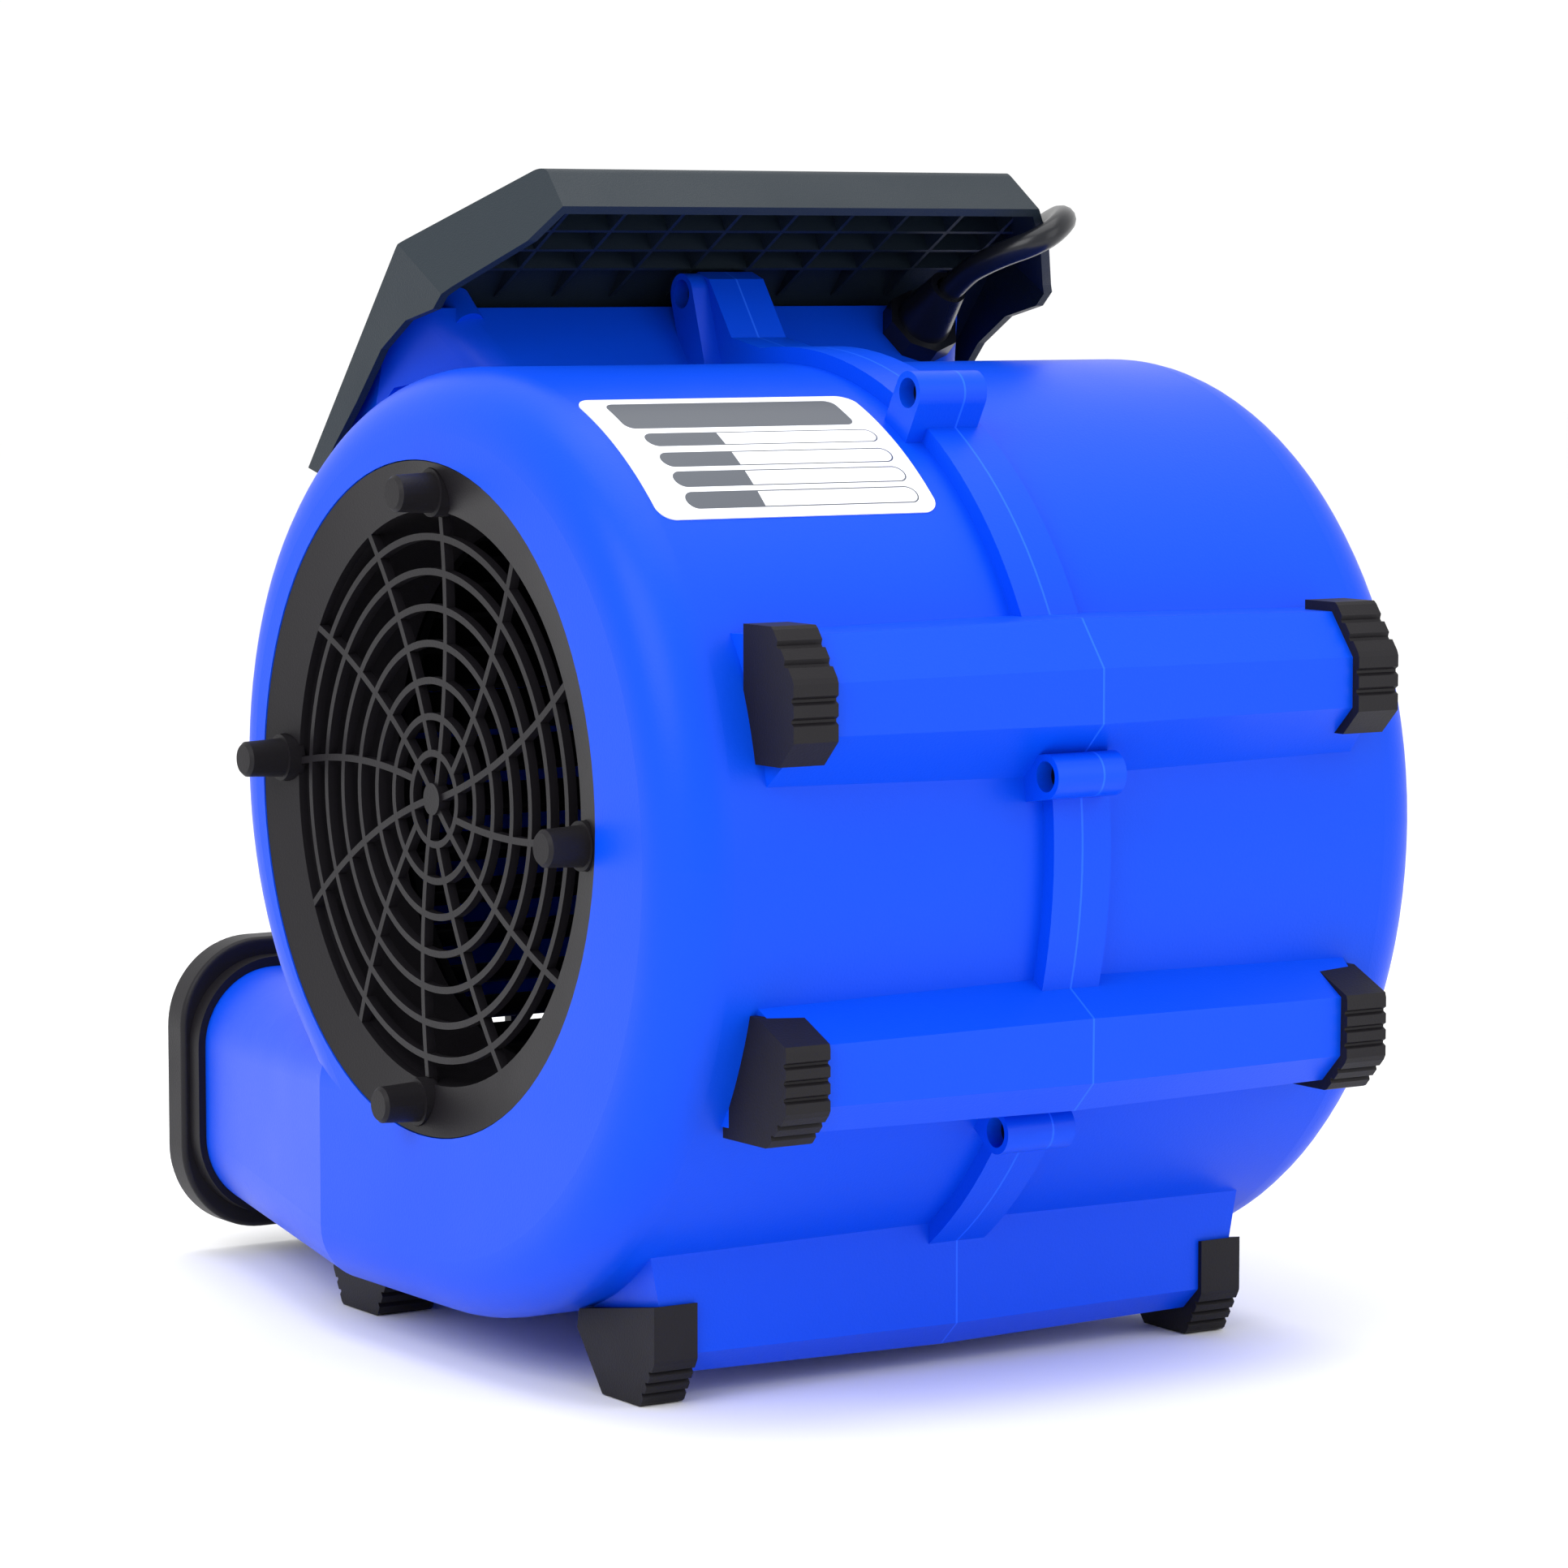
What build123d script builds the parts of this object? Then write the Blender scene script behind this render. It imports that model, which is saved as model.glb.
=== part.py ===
"""Compact centrifugal carpet dryer: a snail housing in two moulded halves, a double-inlet fan wheel
on its own motor, a hood with the speed switch, and rubber feet on four moulded rails.

Frame: +X is the side of the right inlet, -Y is the outlet, +Z is up, millimetres.
The origin is the middle of the footprint, on the floor. Most places are given from the fan axis.
"""
from build123d import *
import math
import os

os.makedirs("parts", exist_ok=True)

# ---------------------------------------------------------------- driving dimensions
AXIS_Y = 26.0            # the fan axis runs along X through this point
AXIS_Z = 157.3
HALF_WIDTH = 122.3       # fan axis centre plane to the flat side of the drum
WALL = 3.0
SHOULDER = 17.0          # rounding between the drum and its sides
DRUM_Y, DRUM_Z = 7.0, -8.3
DRUM_RADIUS = 125.5
FRONT_RADIUS = 109.0     # tighter circle of the drum's front, tangent inside the drum circle
FRONT_ANGLE = 137.7      # where the two circles meet, about the drum centre
BOTTOM_Z = -143.0        # lowest line of the scroll and of the duct
DUCT_TOP = -69.0
DUCT_HALF = 95.2         # duct half-width at the outlet
DUCT_BEND_Y = -60.0      # where the duct's sides come flush with the drum's sides
MOUTH_Y = -195.0
FRAME_FRONT = -199.6
FRAME_REAR = -188.6
RAIL_HALF = 92.5         # half-length of the moulded rails
BAND_HALF = 9.2          # half-width of the raised band over the seam
BAND_PROUD = 4.6
INLET_RADIUS = 92.0      # outside of the grille's bezel
SEAT_X = 115.4           # the bezel's seat, from the centre plane
INLET_HOLE = 80.0
WHEEL_RADIUS = 88.0
WHEEL_EYE = 76.0
WHEEL_HALF = 86.0
BLADES = 40
SHAFT_RADIUS = 5.0
RUNNING_GAP = 0.05       # radial clearance of the shaft in its bearings
HOOD_HALF = 103.0
HOOD_WALL = 2.5
CORD_DIAMETER = 7.5


def yz(y, z):
    """A point of a Plane.YZ sketch, given from the fan axis."""
    return (AXIS_Y + y, AXIS_Z + z)


def polar(radius, degrees):
    """A point of a Plane.YZ sketch, by its radius and angle about the fan axis."""
    turn = math.radians(degrees)
    return yz(radius * math.cos(turn), radius * math.sin(turn))


def x_disc(points, radius, x0, x1, mode=Mode.ADD):
    """Round bars along X through some sketch points, from x0 to x1."""
    with BuildSketch(Plane.YZ.offset(x0)) as discs:
        with Locations(*points):
            Circle(radius)
    extrude(discs.sketch, amount=x1 - x0, mode=mode)


def x_prism(points, x0, x1, inset=0.0, mode=Mode.ADD):
    """A straight bar along X with a polygon for its section."""
    with BuildSketch(Plane.YZ.offset(x0)) as section:
        Polygon(*points, align=None)
        if inset:
            offset(amount=-inset, kind=Kind.INTERSECTION)
    extrude(section.sketch, amount=x1 - x0, mode=mode)


def screw(plane, head_radius, head_height, shank_radius, length):
    """A pan-head screw whose head seats on the plane and whose shank goes in against its normal."""
    with BuildSketch(plane) as head:
        Circle(head_radius)
    extrude(head.sketch, amount=head_height)
    with BuildSketch(plane) as shank:
        Circle(shank_radius)
    extrude(shank.sketch, amount=-length)
    with BuildSketch(plane.offset(head_height)) as cross:
        Rectangle(head_radius * 1.2, 1.0)
        Rectangle(1.0, head_radius * 1.2)
    extrude(cross.sketch, amount=-head_height * 0.55, mode=Mode.SUBTRACT)


def finish(builder, name):
    """Name a finished piece and write it."""
    builder.part.label = name
    export_step(builder.part, f"parts/{name}.step")


# ---------------------------------------------------------------- outline of the scroll
FRONT_STEP = DRUM_RADIUS - FRONT_RADIUS
FRONT_Y = DRUM_Y + FRONT_STEP * math.cos(math.radians(FRONT_ANGLE))
FRONT_Z = DRUM_Z + FRONT_STEP * math.sin(math.radians(FRONT_ANGLE))
SCROLL_RADIUS = DRUM_Z - BOTTOM_Z                  # the wider arc from the rear to the bottom
SCROLL_Y = DRUM_Y + DRUM_RADIUS - SCROLL_RADIUS
TURN_ANGLE = 225.0                                 # where the front circle gives way to a straight


def drum_body(inset):
    """The drum: circle, front circle, a straight and the scroll's wide arc, with round shoulders."""
    drum = DRUM_RADIUS - inset
    front = FRONT_RADIUS - inset
    scroll = SCROLL_RADIUS - inset
    bottom = DRUM_Z - scroll
    turn = math.radians(TURN_ANGLE)
    start = (FRONT_Y + front * math.cos(turn), FRONT_Z + front * math.sin(turn))
    corner = (start[0] + start[1] - bottom, bottom)
    with BuildSketch(Plane.YZ.offset(inset - HALF_WIDTH)) as outline:
        with BuildLine():
            CenterArc(yz(DRUM_Y, DRUM_Z), drum, 0, FRONT_ANGLE)
            CenterArc(yz(FRONT_Y, FRONT_Z), front, FRONT_ANGLE, TURN_ANGLE - FRONT_ANGLE)
            Polyline(yz(*start), yz(*corner), yz(SCROLL_Y, bottom))
            CenterArc(yz(SCROLL_Y, DRUM_Z), scroll, 270, 90)
        make_face()
        fillet(vertices().sort_by_distance(yz(*corner))[0], 24)
    extrude(outline.sketch, amount=2 * (HALF_WIDTH - inset))
    rims = faces().filter_by(Axis.X)
    fillet(rims.edges(), SHOULDER - inset)


def duct_section(y, half, inset, corner):
    """The duct's rounded section at one distance from the fan axis."""
    height = DUCT_TOP - BOTTOM_Z - 2 * inset
    middle = AXIS_Z + (DUCT_TOP + BOTTOM_Z) / 2
    with BuildSketch(Plane.XZ.offset(-(AXIS_Y + y))) as section:
        with Locations((0, middle)):
            RectangleRounded(2 * (half - inset), height, corner - inset)
    return section.sketch


def duct_body(inset, mouth):
    """The duct: flares from the outlet to the drum's full width, then runs into the drum."""
    flare = (HALF_WIDTH - DUCT_HALF) / (DUCT_BEND_Y - FRAME_REAR)
    half = DUCT_HALF + flare * (mouth - FRAME_REAR)
    outlet = duct_section(mouth, half, inset, 24)
    bend = duct_section(DUCT_BEND_Y, HALF_WIDTH, inset, SHOULDER)
    loft([outlet.face(), bend.face()])
    extrude(bend, amount=-(SCROLL_Y - DUCT_BEND_Y))


# ---------------------------------------------------------------- rails, feet profiles
UPPER_RAIL = [yz(112, 52.7), yz(136.3, 52.7), yz(146.2, 40), yz(146.2, 25.4), yz(124, 4), yz(112, 4)]
LOWER_RAIL = [yz(100, -40), yz(128, -43), yz(142.6, -52.4), yz(142.4, -69.7), yz(134, -78),
              yz(100, -78)]
BASE_RAIL = [yz(79.6, -95), yz(79.6, -144), yz(72, -151), yz(55, -151), yz(39, -134), yz(39, -95)]
LUG_POINTS = [(-39.0, 136.2), (76.4, 110.4), (140.8, 12.0), (118.7, -84.6)]
LUG_RADIUS = 5.9
LUG_RIGHT = 14.7
LUG_LEFT = -7.2
LUG_SEAT = 8.0                       # the screw head sits here, inside the right half's boss


RAIL_DRAFT = 0.9                     # each half of a rail thins towards its end, to leave the mould
RAIL_END_DRAFT = 11.0                # its end face leans in as it stands off the drum


def rails(inset):
    """The three moulded rails at the rear and underneath, thickest at the centre plane."""
    for profile, outward in ((UPPER_RAIL, 0), (LOWER_RAIL, 0), (BASE_RAIL, -90)):
        for side in (-1, 1):
            middle = Plane(origin=(0, 0, 0), x_dir=(0, side, 0), z_dir=(side, 0, 0))
            with BuildSketch(middle) as section:
                Polygon(*[(side * y, z) for y, z in profile], align=None)
                if inset:
                    offset(amount=-inset, kind=Kind.INTERSECTION)
            with BuildPart(mode=Mode.PRIVATE) as half_rail:
                extrude(section.sketch, amount=RAIL_HALF + 8 - inset, taper=RAIL_DRAFT)
                lean = math.radians(outward)
                away = Vector(0, math.cos(lean), math.sin(lean))
                tip = Vector(side * (RAIL_HALF - inset), *yz(0, 0)) + away * 141
                draft = math.radians(RAIL_END_DRAFT)
                normal = Vector(side * math.cos(draft), 0, 0) + away * math.sin(draft)
                split(bisect_by=Plane(origin=tip, z_dir=normal), keep=Keep.BOTTOM)
            add(half_rail.part)


# ---------------------------------------------------------------- hood lines, from the fan axis
HOOD_FRONT = (-100.3, 86.5)
HOOD_BEND = (-46.3, 150.4)
HOOD_CREST = (-9.2, 172.0)
HOOD_LIP = (4.6, 160.5)
HOOD_UNDER = [(-1.4, 151.1), (-19.3, 138.6), (-26.2, 132.5), (-41.9, 129.2), (-56.1, 121.1),
              (-70.8, 106.0), (-84.6, 93.1), (-92.0, 84.5)]
PANEL_TILT = math.atan2(HOOD_BEND[1] - HOOD_FRONT[1], HOOD_BEND[0] - HOOD_FRONT[0])
PANEL_NORMAL = (0, -math.sin(PANEL_TILT), math.cos(PANEL_TILT))
PANEL_Y = (HOOD_FRONT[0] + HOOD_BEND[0]) / 2
PANEL_Z = (HOOD_FRONT[1] + HOOD_BEND[1]) / 2
PANEL = Plane(origin=(0, *yz(PANEL_Y, PANEL_Z)), x_dir=(1, 0, 0), z_dir=PANEL_NORMAL)
CORNER_NORMAL = (0.820, 0.279, 0.500)              # the sloping wall that cuts the hood's corner
HOOD_SCREWS = [(-80, -30), (80, -30), (-80, 24), (80, 24)]
DECK_DROP = 3.2                                    # pedestal top below the hood's outer face
SWITCH_SIZE = 26.0
SWITCH_V = 5.0                                     # switch centre, up the panel from its middle


def corner_plane(side, shift):
    """The hood's corner wall on one side, moved outwards by shift."""
    normal = Vector(side * CORNER_NORMAL[0], CORNER_NORMAL[1], CORNER_NORMAL[2])
    bend = Vector(side * HOOD_HALF, *yz(*HOOD_BEND))
    return Plane(origin=bend + normal * shift, z_dir=normal)


def pedestal_body(inset):
    """The block that carries the hood: it widens upwards and is cut parallel to the panel."""
    top = AXIS_Z + 132.5 - inset
    levels = []
    for z, rear, back_half, shoulder_y in ((50.0, 17.0, 38.3, -88.0), (132.5, -47.8, 88.3, -62.6)):
        corners = [(-back_half, rear), (back_half, rear), (96.6, shoulder_y), (96.6, -97.0),
                   (-96.6, -97.0), (-96.6, shoulder_y)]
        with BuildSketch(Plane.XY.offset(AXIS_Z + z)) as level:
            with Locations((0, AXIS_Y)):
                Polygon(*corners, align=None)
            if inset:
                offset(amount=-inset, kind=Kind.INTERSECTION)
        levels.append(level.sketch.face())
    loft(levels)
    split(bisect_by=Plane.XY.offset(top), keep=Keep.BOTTOM)
    split(bisect_by=PANEL.offset(-DECK_DROP - inset), keep=Keep.BOTTOM)


# ---------------------------------------------------------------- the housing as one form
with BuildPart() as drum_form:
    drum_body(0.0)
    duct_body(0.0, MOUTH_Y)

# A shallow pocket in each side of the pedestal, open towards the drum.
POCKET = [yz(-88, 40), yz(-88, 83), yz(-65, 110), yz(-56, 112), yz(-34, 92), yz(-34, 40)]
POCKET_DEPTH = 7.0

with BuildPart() as pedestal_form:
    pedestal_body(0.0)
    upright = edges().filter_by(lambda e: abs(e.tangent_at(0.5).Z) > 0.5)
    fillet(upright.filter_by(lambda e: e.center().Y > AXIS_Y - 60), 9)
    x_prism(POCKET, 96.6 - POCKET_DEPTH, 110.0, mode=Mode.SUBTRACT)
    x_prism(POCKET, -110.0, POCKET_DEPTH - 96.6, mode=Mode.SUBTRACT)

with BuildPart() as pedestal_space:
    pedestal_body(WALL)
    add(drum_form.part, mode=Mode.SUBTRACT)
    x_prism(POCKET, 96.6 - POCKET_DEPTH - WALL, 110.0, -WALL, Mode.SUBTRACT)
    x_prism(POCKET, -110.0, POCKET_DEPTH - 96.6 + WALL, -WALL, Mode.SUBTRACT)

with BuildPart() as air_space:
    drum_body(WALL)
    duct_body(WALL, MOUTH_Y - 10)
    rails(WALL)

with BuildPart() as band_form:
    with BuildSketch(Plane.YZ.offset(-BAND_HALF)):
        with BuildLine():
            CenterArc(yz(DRUM_Y, DRUM_Z), DRUM_RADIUS + BAND_PROUD, 0, 104)
            CenterArc(yz(SCROLL_Y, DRUM_Z), SCROLL_RADIUS + BAND_PROUD, -56, 56)
            inner_high = CenterArc(yz(DRUM_Y, DRUM_Z), DRUM_RADIUS - 2, 0, 104)
            inner_low = CenterArc(yz(SCROLL_Y, DRUM_Z), SCROLL_RADIUS - 2, -56, 56)
            Line(yz(DRUM_Y + (DRUM_RADIUS + BAND_PROUD) * math.cos(math.radians(104)),
                    DRUM_Z + (DRUM_RADIUS + BAND_PROUD) * math.sin(math.radians(104))), inner_high @ 1)
            Line(yz(SCROLL_Y + (SCROLL_RADIUS + BAND_PROUD) * math.cos(math.radians(-56)),
                    DRUM_Z + (SCROLL_RADIUS + BAND_PROUD) * math.sin(math.radians(-56))), inner_low @ 0)
        make_face()
    extrude(amount=2 * BAND_HALF)

with BuildPart() as housing_form:
    add(drum_form.part)
    rails(0.0)
    add(pedestal_form.part)
    add(band_form.part)
    add(air_space.part, mode=Mode.SUBTRACT)
    add(pedestal_space.part, mode=Mode.SUBTRACT)
    with BuildSketch(PANEL.offset(-DECK_DROP)) as posts:
        with Locations(*HOOD_SCREWS):
            Circle(4.5)
    extrude(posts.sketch, amount=-11.0)
    with BuildSketch(PANEL.offset(-DECK_DROP)) as pilots:
        with Locations(*HOOD_SCREWS):
            Circle(1.6)
    extrude(pilots.sketch, amount=-10.0, mode=Mode.SUBTRACT)
    with BuildSketch(PANEL) as window:
        with Locations((0, SWITCH_V)):
            Rectangle(SWITCH_SIZE + 4, SWITCH_SIZE + 4)
    extrude(window.sketch, amount=-12.0, mode=Mode.SUBTRACT)


def lugs(x0, x1):
    """Screw lugs along the seam: a round boss on a short arm that runs into the band."""
    for y, z in LUG_POINTS:
        x_disc([yz(y, z)], LUG_RADIUS, x0, x1)
        reach = math.hypot(y - DRUM_Y, z - DRUM_Z)
        toward = ((DRUM_Y - y) / reach, (DRUM_Z - z) / reach)
        across = (-toward[1] * LUG_RADIUS, toward[0] * LUG_RADIUS)
        depth = reach - DRUM_RADIUS + 1.0
        arm = [yz(y + across[0], z + across[1]), yz(y - across[0], z - across[1]),
               yz(y - across[0] + toward[0] * depth, z - across[1] + toward[1] * depth),
               yz(y + across[0] + toward[0] * depth, z + across[1] + toward[1] * depth)]
        x_prism(arm, x0, x1)


# The first lug stands on the pedestal, so its strap runs down to the crown of the drum.
FIRST_STRAP = [yz(-45, 140), yz(-39, 142.5), yz(-33, 140.5), yz(-21, 124), yz(-6, 121.3),
               yz(-6, 114), yz(-34, 112), yz(-47, 122)]
INLET_SEAT_RADIUS = 95.5
MOUNT_RADIUS = 94.0                  # screw circle of the motor mount
MOUNT_ANGLES = (90, 210, 330)
MOUNT_X = 98.0                       # outer face of the motor mount, on the left
FRONT_FOOT_PEGS = [(-87.0, -86.0), (87.0, -86.0)]
FOOT_PEG_RADIUS = 5.0
GLAND_X = -67.6
GLAND_TILT = math.atan2(17.5, 13.8)  # the pedestal's rear wall leans back by this angle
GLAND = Plane(origin=(GLAND_X, *yz(-41.4, 124.4)), x_dir=(1, 0, 0),
              z_dir=(0, math.sin(GLAND_TILT), math.cos(GLAND_TILT)))
GLAND_BORE = 7.0


def inlet_seat(side):
    """The stepped seat round one inlet, and the hole that the air comes in by."""
    inner = side * (SEAT_X - 4.0)
    x_disc([yz(0, 0)], INLET_SEAT_RADIUS, inner, side * (HALF_WIDTH - 1.0))
    x_disc([yz(0, 0)], INLET_RADIUS + 0.3, side * SEAT_X, side * (HALF_WIDTH + 1.0), Mode.SUBTRACT)
    x_disc([yz(0, 0)], INLET_HOLE, side * (SEAT_X - 8.0), side * (HALF_WIDTH + 1.0), Mode.SUBTRACT)
    x_disc(FOOT_SCREWS, 1.6, inner, side * SEAT_X, Mode.SUBTRACT)


FOOT_SCREWS = [polar(83.7, angle) for angle in (-3.5, 86.5, 176.5, 266.5)]
MOUNT_PADS = [polar(MOUNT_RADIUS, angle) for angle in MOUNT_ANGLES]

with BuildPart() as housing_right:
    add(housing_form.part)
    split(bisect_by=Plane.YZ, keep=Keep.TOP)
    lugs(0.0, LUG_RIGHT)
    x_prism(FIRST_STRAP, 0.0, BAND_HALF)
    inlet_seat(1)
    for peg_x, peg_y in FRONT_FOOT_PEGS[1:]:
        with BuildSketch(Plane.XY.offset(AXIS_Z + BOTTOM_Z + 1.0)) as peg:
            with Locations((peg_x, AXIS_Y + peg_y)):
                Circle(FOOT_PEG_RADIUS)
        extrude(peg.sketch, amount=-7.0)
    x_disc([yz(*point) for point in LUG_POINTS], 4.1, LUG_SEAT, LUG_RIGHT, Mode.SUBTRACT)
    x_disc([yz(*point) for point in LUG_POINTS], 2.3, 0.0, LUG_RIGHT, Mode.SUBTRACT)

with BuildPart() as housing_left:
    add(housing_form.part)
    split(bisect_by=Plane.YZ, keep=Keep.BOTTOM)
    lugs(LUG_LEFT, 0.0)
    x_prism(FIRST_STRAP, -BAND_HALF, 0.0)
    x_disc(MOUNT_PADS, 5.8, -(HALF_WIDTH - WALL / 2), -MOUNT_X)
    x_disc(MOUNT_PADS, 1.7, -MOUNT_X - 14.0, -MOUNT_X, Mode.SUBTRACT)
    inlet_seat(-1)
    for peg_x, peg_y in FRONT_FOOT_PEGS[:1]:
        with BuildSketch(Plane.XY.offset(AXIS_Z + BOTTOM_Z + 1.0)) as peg:
            with Locations((peg_x, AXIS_Y + peg_y)):
                Circle(FOOT_PEG_RADIUS)
        extrude(peg.sketch, amount=-7.0)
    x_disc([yz(*point) for point in LUG_POINTS], 1.6, -5.8, 0.0, Mode.SUBTRACT)
    with BuildSketch(GLAND.offset(-8.0)) as cable_hole:
        Circle(GLAND_BORE)
    extrude(cable_hole.sketch, amount=16.0, mode=Mode.SUBTRACT)

print("right half", housing_right.part.volume, len(housing_right.part.solids()))
print("left half", housing_left.part.volume, len(housing_left.part.solids()))
finish(housing_right, "housing_right")
finish(housing_left, "housing_left")

# ---------------------------------------------------------------- seam screws
with BuildPart() as seam_screws:
    for point in LUG_POINTS:
        screw(Plane.YZ.offset(LUG_SEAT).shift_origin((LUG_SEAT, *yz(*point))), 3.5, 2.4, 1.55, 13.4)
finish(seam_screws, "seam_screws")

# ---------------------------------------------------------------- inlet grilles
RING_RADII = [12.5, 22.5, 32.3, 42.4, 52.2, 61.9, 71.4]
BAR_WIDTH = 1.9
GRILLE_FACE = 118.3
GRILLE_BACK = 115.6
BEZEL_INNER = 78.5
SPOKES = 12
SPOKE_SWEEP = 19.0
THROAT = 73.5


def inlet_grille(side, spigot_x):
    """One moulding: sloping bezel, spigot, rings and curved spokes, with seats for the side feet."""
    flip = 1 if side > 0 else -1
    outline = [(122.0, INLET_RADIUS), (SEAT_X, INLET_RADIUS), (SEAT_X, INLET_HOLE - 0.3),
               (spigot_x, THROAT + 3.0), (spigot_x, THROAT), (GRILLE_BACK, BEZEL_INNER),
               (GRILLE_FACE, BEZEL_INNER)]
    with BuildSketch(Plane.XZ.offset(-AXIS_Y)) as section:
        Polygon(*[(flip * x, AXIS_Z + r) for x, r in outline], align=None)
    revolve(section.sketch, axis=Axis((0, AXIS_Y, AXIS_Z), (1, 0, 0)))
    base = Plane.YZ.offset(flip * GRILLE_BACK)
    thick = flip * (GRILLE_FACE - GRILLE_BACK)
    with BuildSketch(base) as web:
        with Locations(yz(0, 0)):
            for radius in reversed(RING_RADII):
                Circle(radius + BAR_WIDTH / 2)
                Circle(radius - BAR_WIDTH / 2, mode=Mode.SUBTRACT)
    with BuildSketch(base) as spokes:
        for index in range(SPOKES):
            start = RING_RADII[0] if index % 2 else 3.0
            angle = index * 360 / SPOKES + 8
            middle = (start + BEZEL_INNER) / 2
            with BuildLine():
                ThreePointArc(polar(start, angle), polar(middle, angle + SPOKE_SWEEP * 0.66),
                              polar(BEZEL_INNER + 1, angle + SPOKE_SWEEP))
            trace(line_width=BAR_WIDTH)
    extrude(spokes.sketch, amount=thick)
    extrude(web.sketch, amount=thick)
    x_disc([yz(0, 0)], 4.4, flip * GRILLE_BACK, flip * (GRILLE_FACE + 0.8))
    x_disc(FOOT_SCREWS, 6.75, flip * 117.0, flip * 124.0, Mode.SUBTRACT)
    x_disc(FOOT_SCREWS, 2.2, flip * 112.0, flip * 118.0, Mode.SUBTRACT)


with BuildPart() as inlet_grille_right:
    inlet_grille(1, 89.0)
print("grille", inlet_grille_right.part.volume, len(inlet_grille_right.part.solids()))
with BuildPart() as inlet_grille_left:
    inlet_grille(-1, 102.0)
finish(inlet_grille_right, "inlet_grille_right")
finish(inlet_grille_left, "inlet_grille_left")


def side_feet(side):
    """Four stub feet on one inlet: the machine can lie on them. Each hides a grille screw."""
    x_disc(FOOT_SCREWS, 6.6, side * 117.0, side * 121.8)
    for y, z in FOOT_SCREWS:
        with BuildSketch(Plane.YZ.offset(side * 121.8)) as base:
            with Locations((y, z)):
                Circle(5.5)
        with BuildSketch(Plane.YZ.offset(side * 132.4)) as tip:
            with Locations((y, z)):
                Circle(5.0)
        with BuildSketch(Plane.YZ.offset(side * 133.4)) as end:
            with Locations((y, z)):
                Circle(4.1)
        loft([base.sketch.face(), tip.sketch.face()])
        loft([tip.sketch.face(), end.sketch.face()])
    x_disc(FOOT_SCREWS, 4.3, side * 117.0, side * 120.2, Mode.SUBTRACT)


for side, word in ((1, "right"), (-1, "left")):
    with BuildPart() as feet:
        side_feet(side)
    finish(feet, f"side_feet_{word}")
    with BuildPart() as screws:
        for y, z in FOOT_SCREWS:
            plane = Plane(origin=(side * 117.0, y, z), z_dir=(side, 0, 0))
            screw(plane, 3.9, 2.4, 1.55, 5.4)
    finish(screws, f"grille_screws_{word}")

# ---------------------------------------------------------------- outlet frame and its guard
with BuildPart() as duct_outside:
    duct_body(0.0, FRAME_FRONT)

with BuildPart() as duct_inside:
    duct_body(WALL, FRAME_FRONT - 2)


def frame_slab(y0, y1, half, low, high, corner):
    """A rounded slab across the duct between two distances from the fan axis."""
    with BuildSketch(Plane.XZ.offset(-(AXIS_Y + y1))) as slab:
        with Locations((0, AXIS_Z + (low + high) / 2)):
            RectangleRounded(2 * half, high - low, corner)
    extrude(slab.sketch, amount=y1 - y0)


GUARD_BARS = 9
FRAME_SCREW_X = 62.0
FRAME_SCREW_Z = (DUCT_TOP + 4.2, BOTTOM_Z - 3.7)
with BuildPart() as outlet_frame:
    frame_slab(FRAME_FRONT, FRAME_REAR, 101.2, -150.4, -60.6, 26.7)
    rim = faces().sort_by(Axis.Y)[-1].edges() + faces().sort_by(Axis.Y)[0].edges()
    fillet(rim, 1.6)
    frame_slab(FRAME_REAR, FRAME_REAR + 6.0, DUCT_HALF + 3.6, -145.6, -66.0, 26.5)
    add(duct_outside.part, mode=Mode.SUBTRACT)
    frame_slab(FRAME_FRONT + 0.6, MOUTH_Y, DUCT_HALF - 0.5, BOTTOM_Z + 0.5, DUCT_TOP - 0.5, 24)
    add(duct_inside.part, mode=Mode.SUBTRACT)
    with BuildSketch(Plane.XZ.offset(-(AXIS_Y + MOUTH_Y))) as guard:
        with GridLocations(2 * DUCT_HALF / (GUARD_BARS + 1), 1, GUARD_BARS, 1):
            with Locations((0, AXIS_Z + (DUCT_TOP + BOTTOM_Z) / 2)):
                Rectangle(2.6, DUCT_TOP - BOTTOM_Z - 2 * WALL + 1)
        with Locations((0, AXIS_Z + (DUCT_TOP + BOTTOM_Z) / 2)):
            Rectangle(2 * DUCT_HALF - 2 * WALL + 1, 2.6)
    extrude(guard.sketch, amount=4.0)
    with BuildSketch(Plane.XZ.offset(-(AXIS_Y + FRAME_FRONT))) as screw_seats:
        for z in FRAME_SCREW_Z:
            with Locations((-FRAME_SCREW_X, AXIS_Z + z), (FRAME_SCREW_X, AXIS_Z + z)):
                Circle(2.7)
    extrude(screw_seats.sketch, amount=-1.0, mode=Mode.SUBTRACT)
    with BuildSketch(Plane.XZ.offset(-(AXIS_Y + FRAME_FRONT))) as screw_holes:
        for z in FRAME_SCREW_Z:
            with Locations((-FRAME_SCREW_X, AXIS_Z + z), (FRAME_SCREW_X, AXIS_Z + z)):
                Circle(1.2)
    extrude(screw_holes.sketch, amount=-10.2, mode=Mode.SUBTRACT)
print("frame", outlet_frame.part.volume, len(outlet_frame.part.solids()))
finish(outlet_frame, "outlet_frame")

with BuildPart() as outlet_frame_screws:
    for x in (-FRAME_SCREW_X, FRAME_SCREW_X):
        for z in FRAME_SCREW_Z:
            spot = Plane(origin=(x, *yz(FRAME_FRONT + 1.0, z)), x_dir=(1, 0, 0), z_dir=(0, -1, 0))
            screw(spot, 2.6, 0.95, 1.2, 9.0)
finish(outlet_frame_screws, "outlet_frame_screws")

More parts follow.
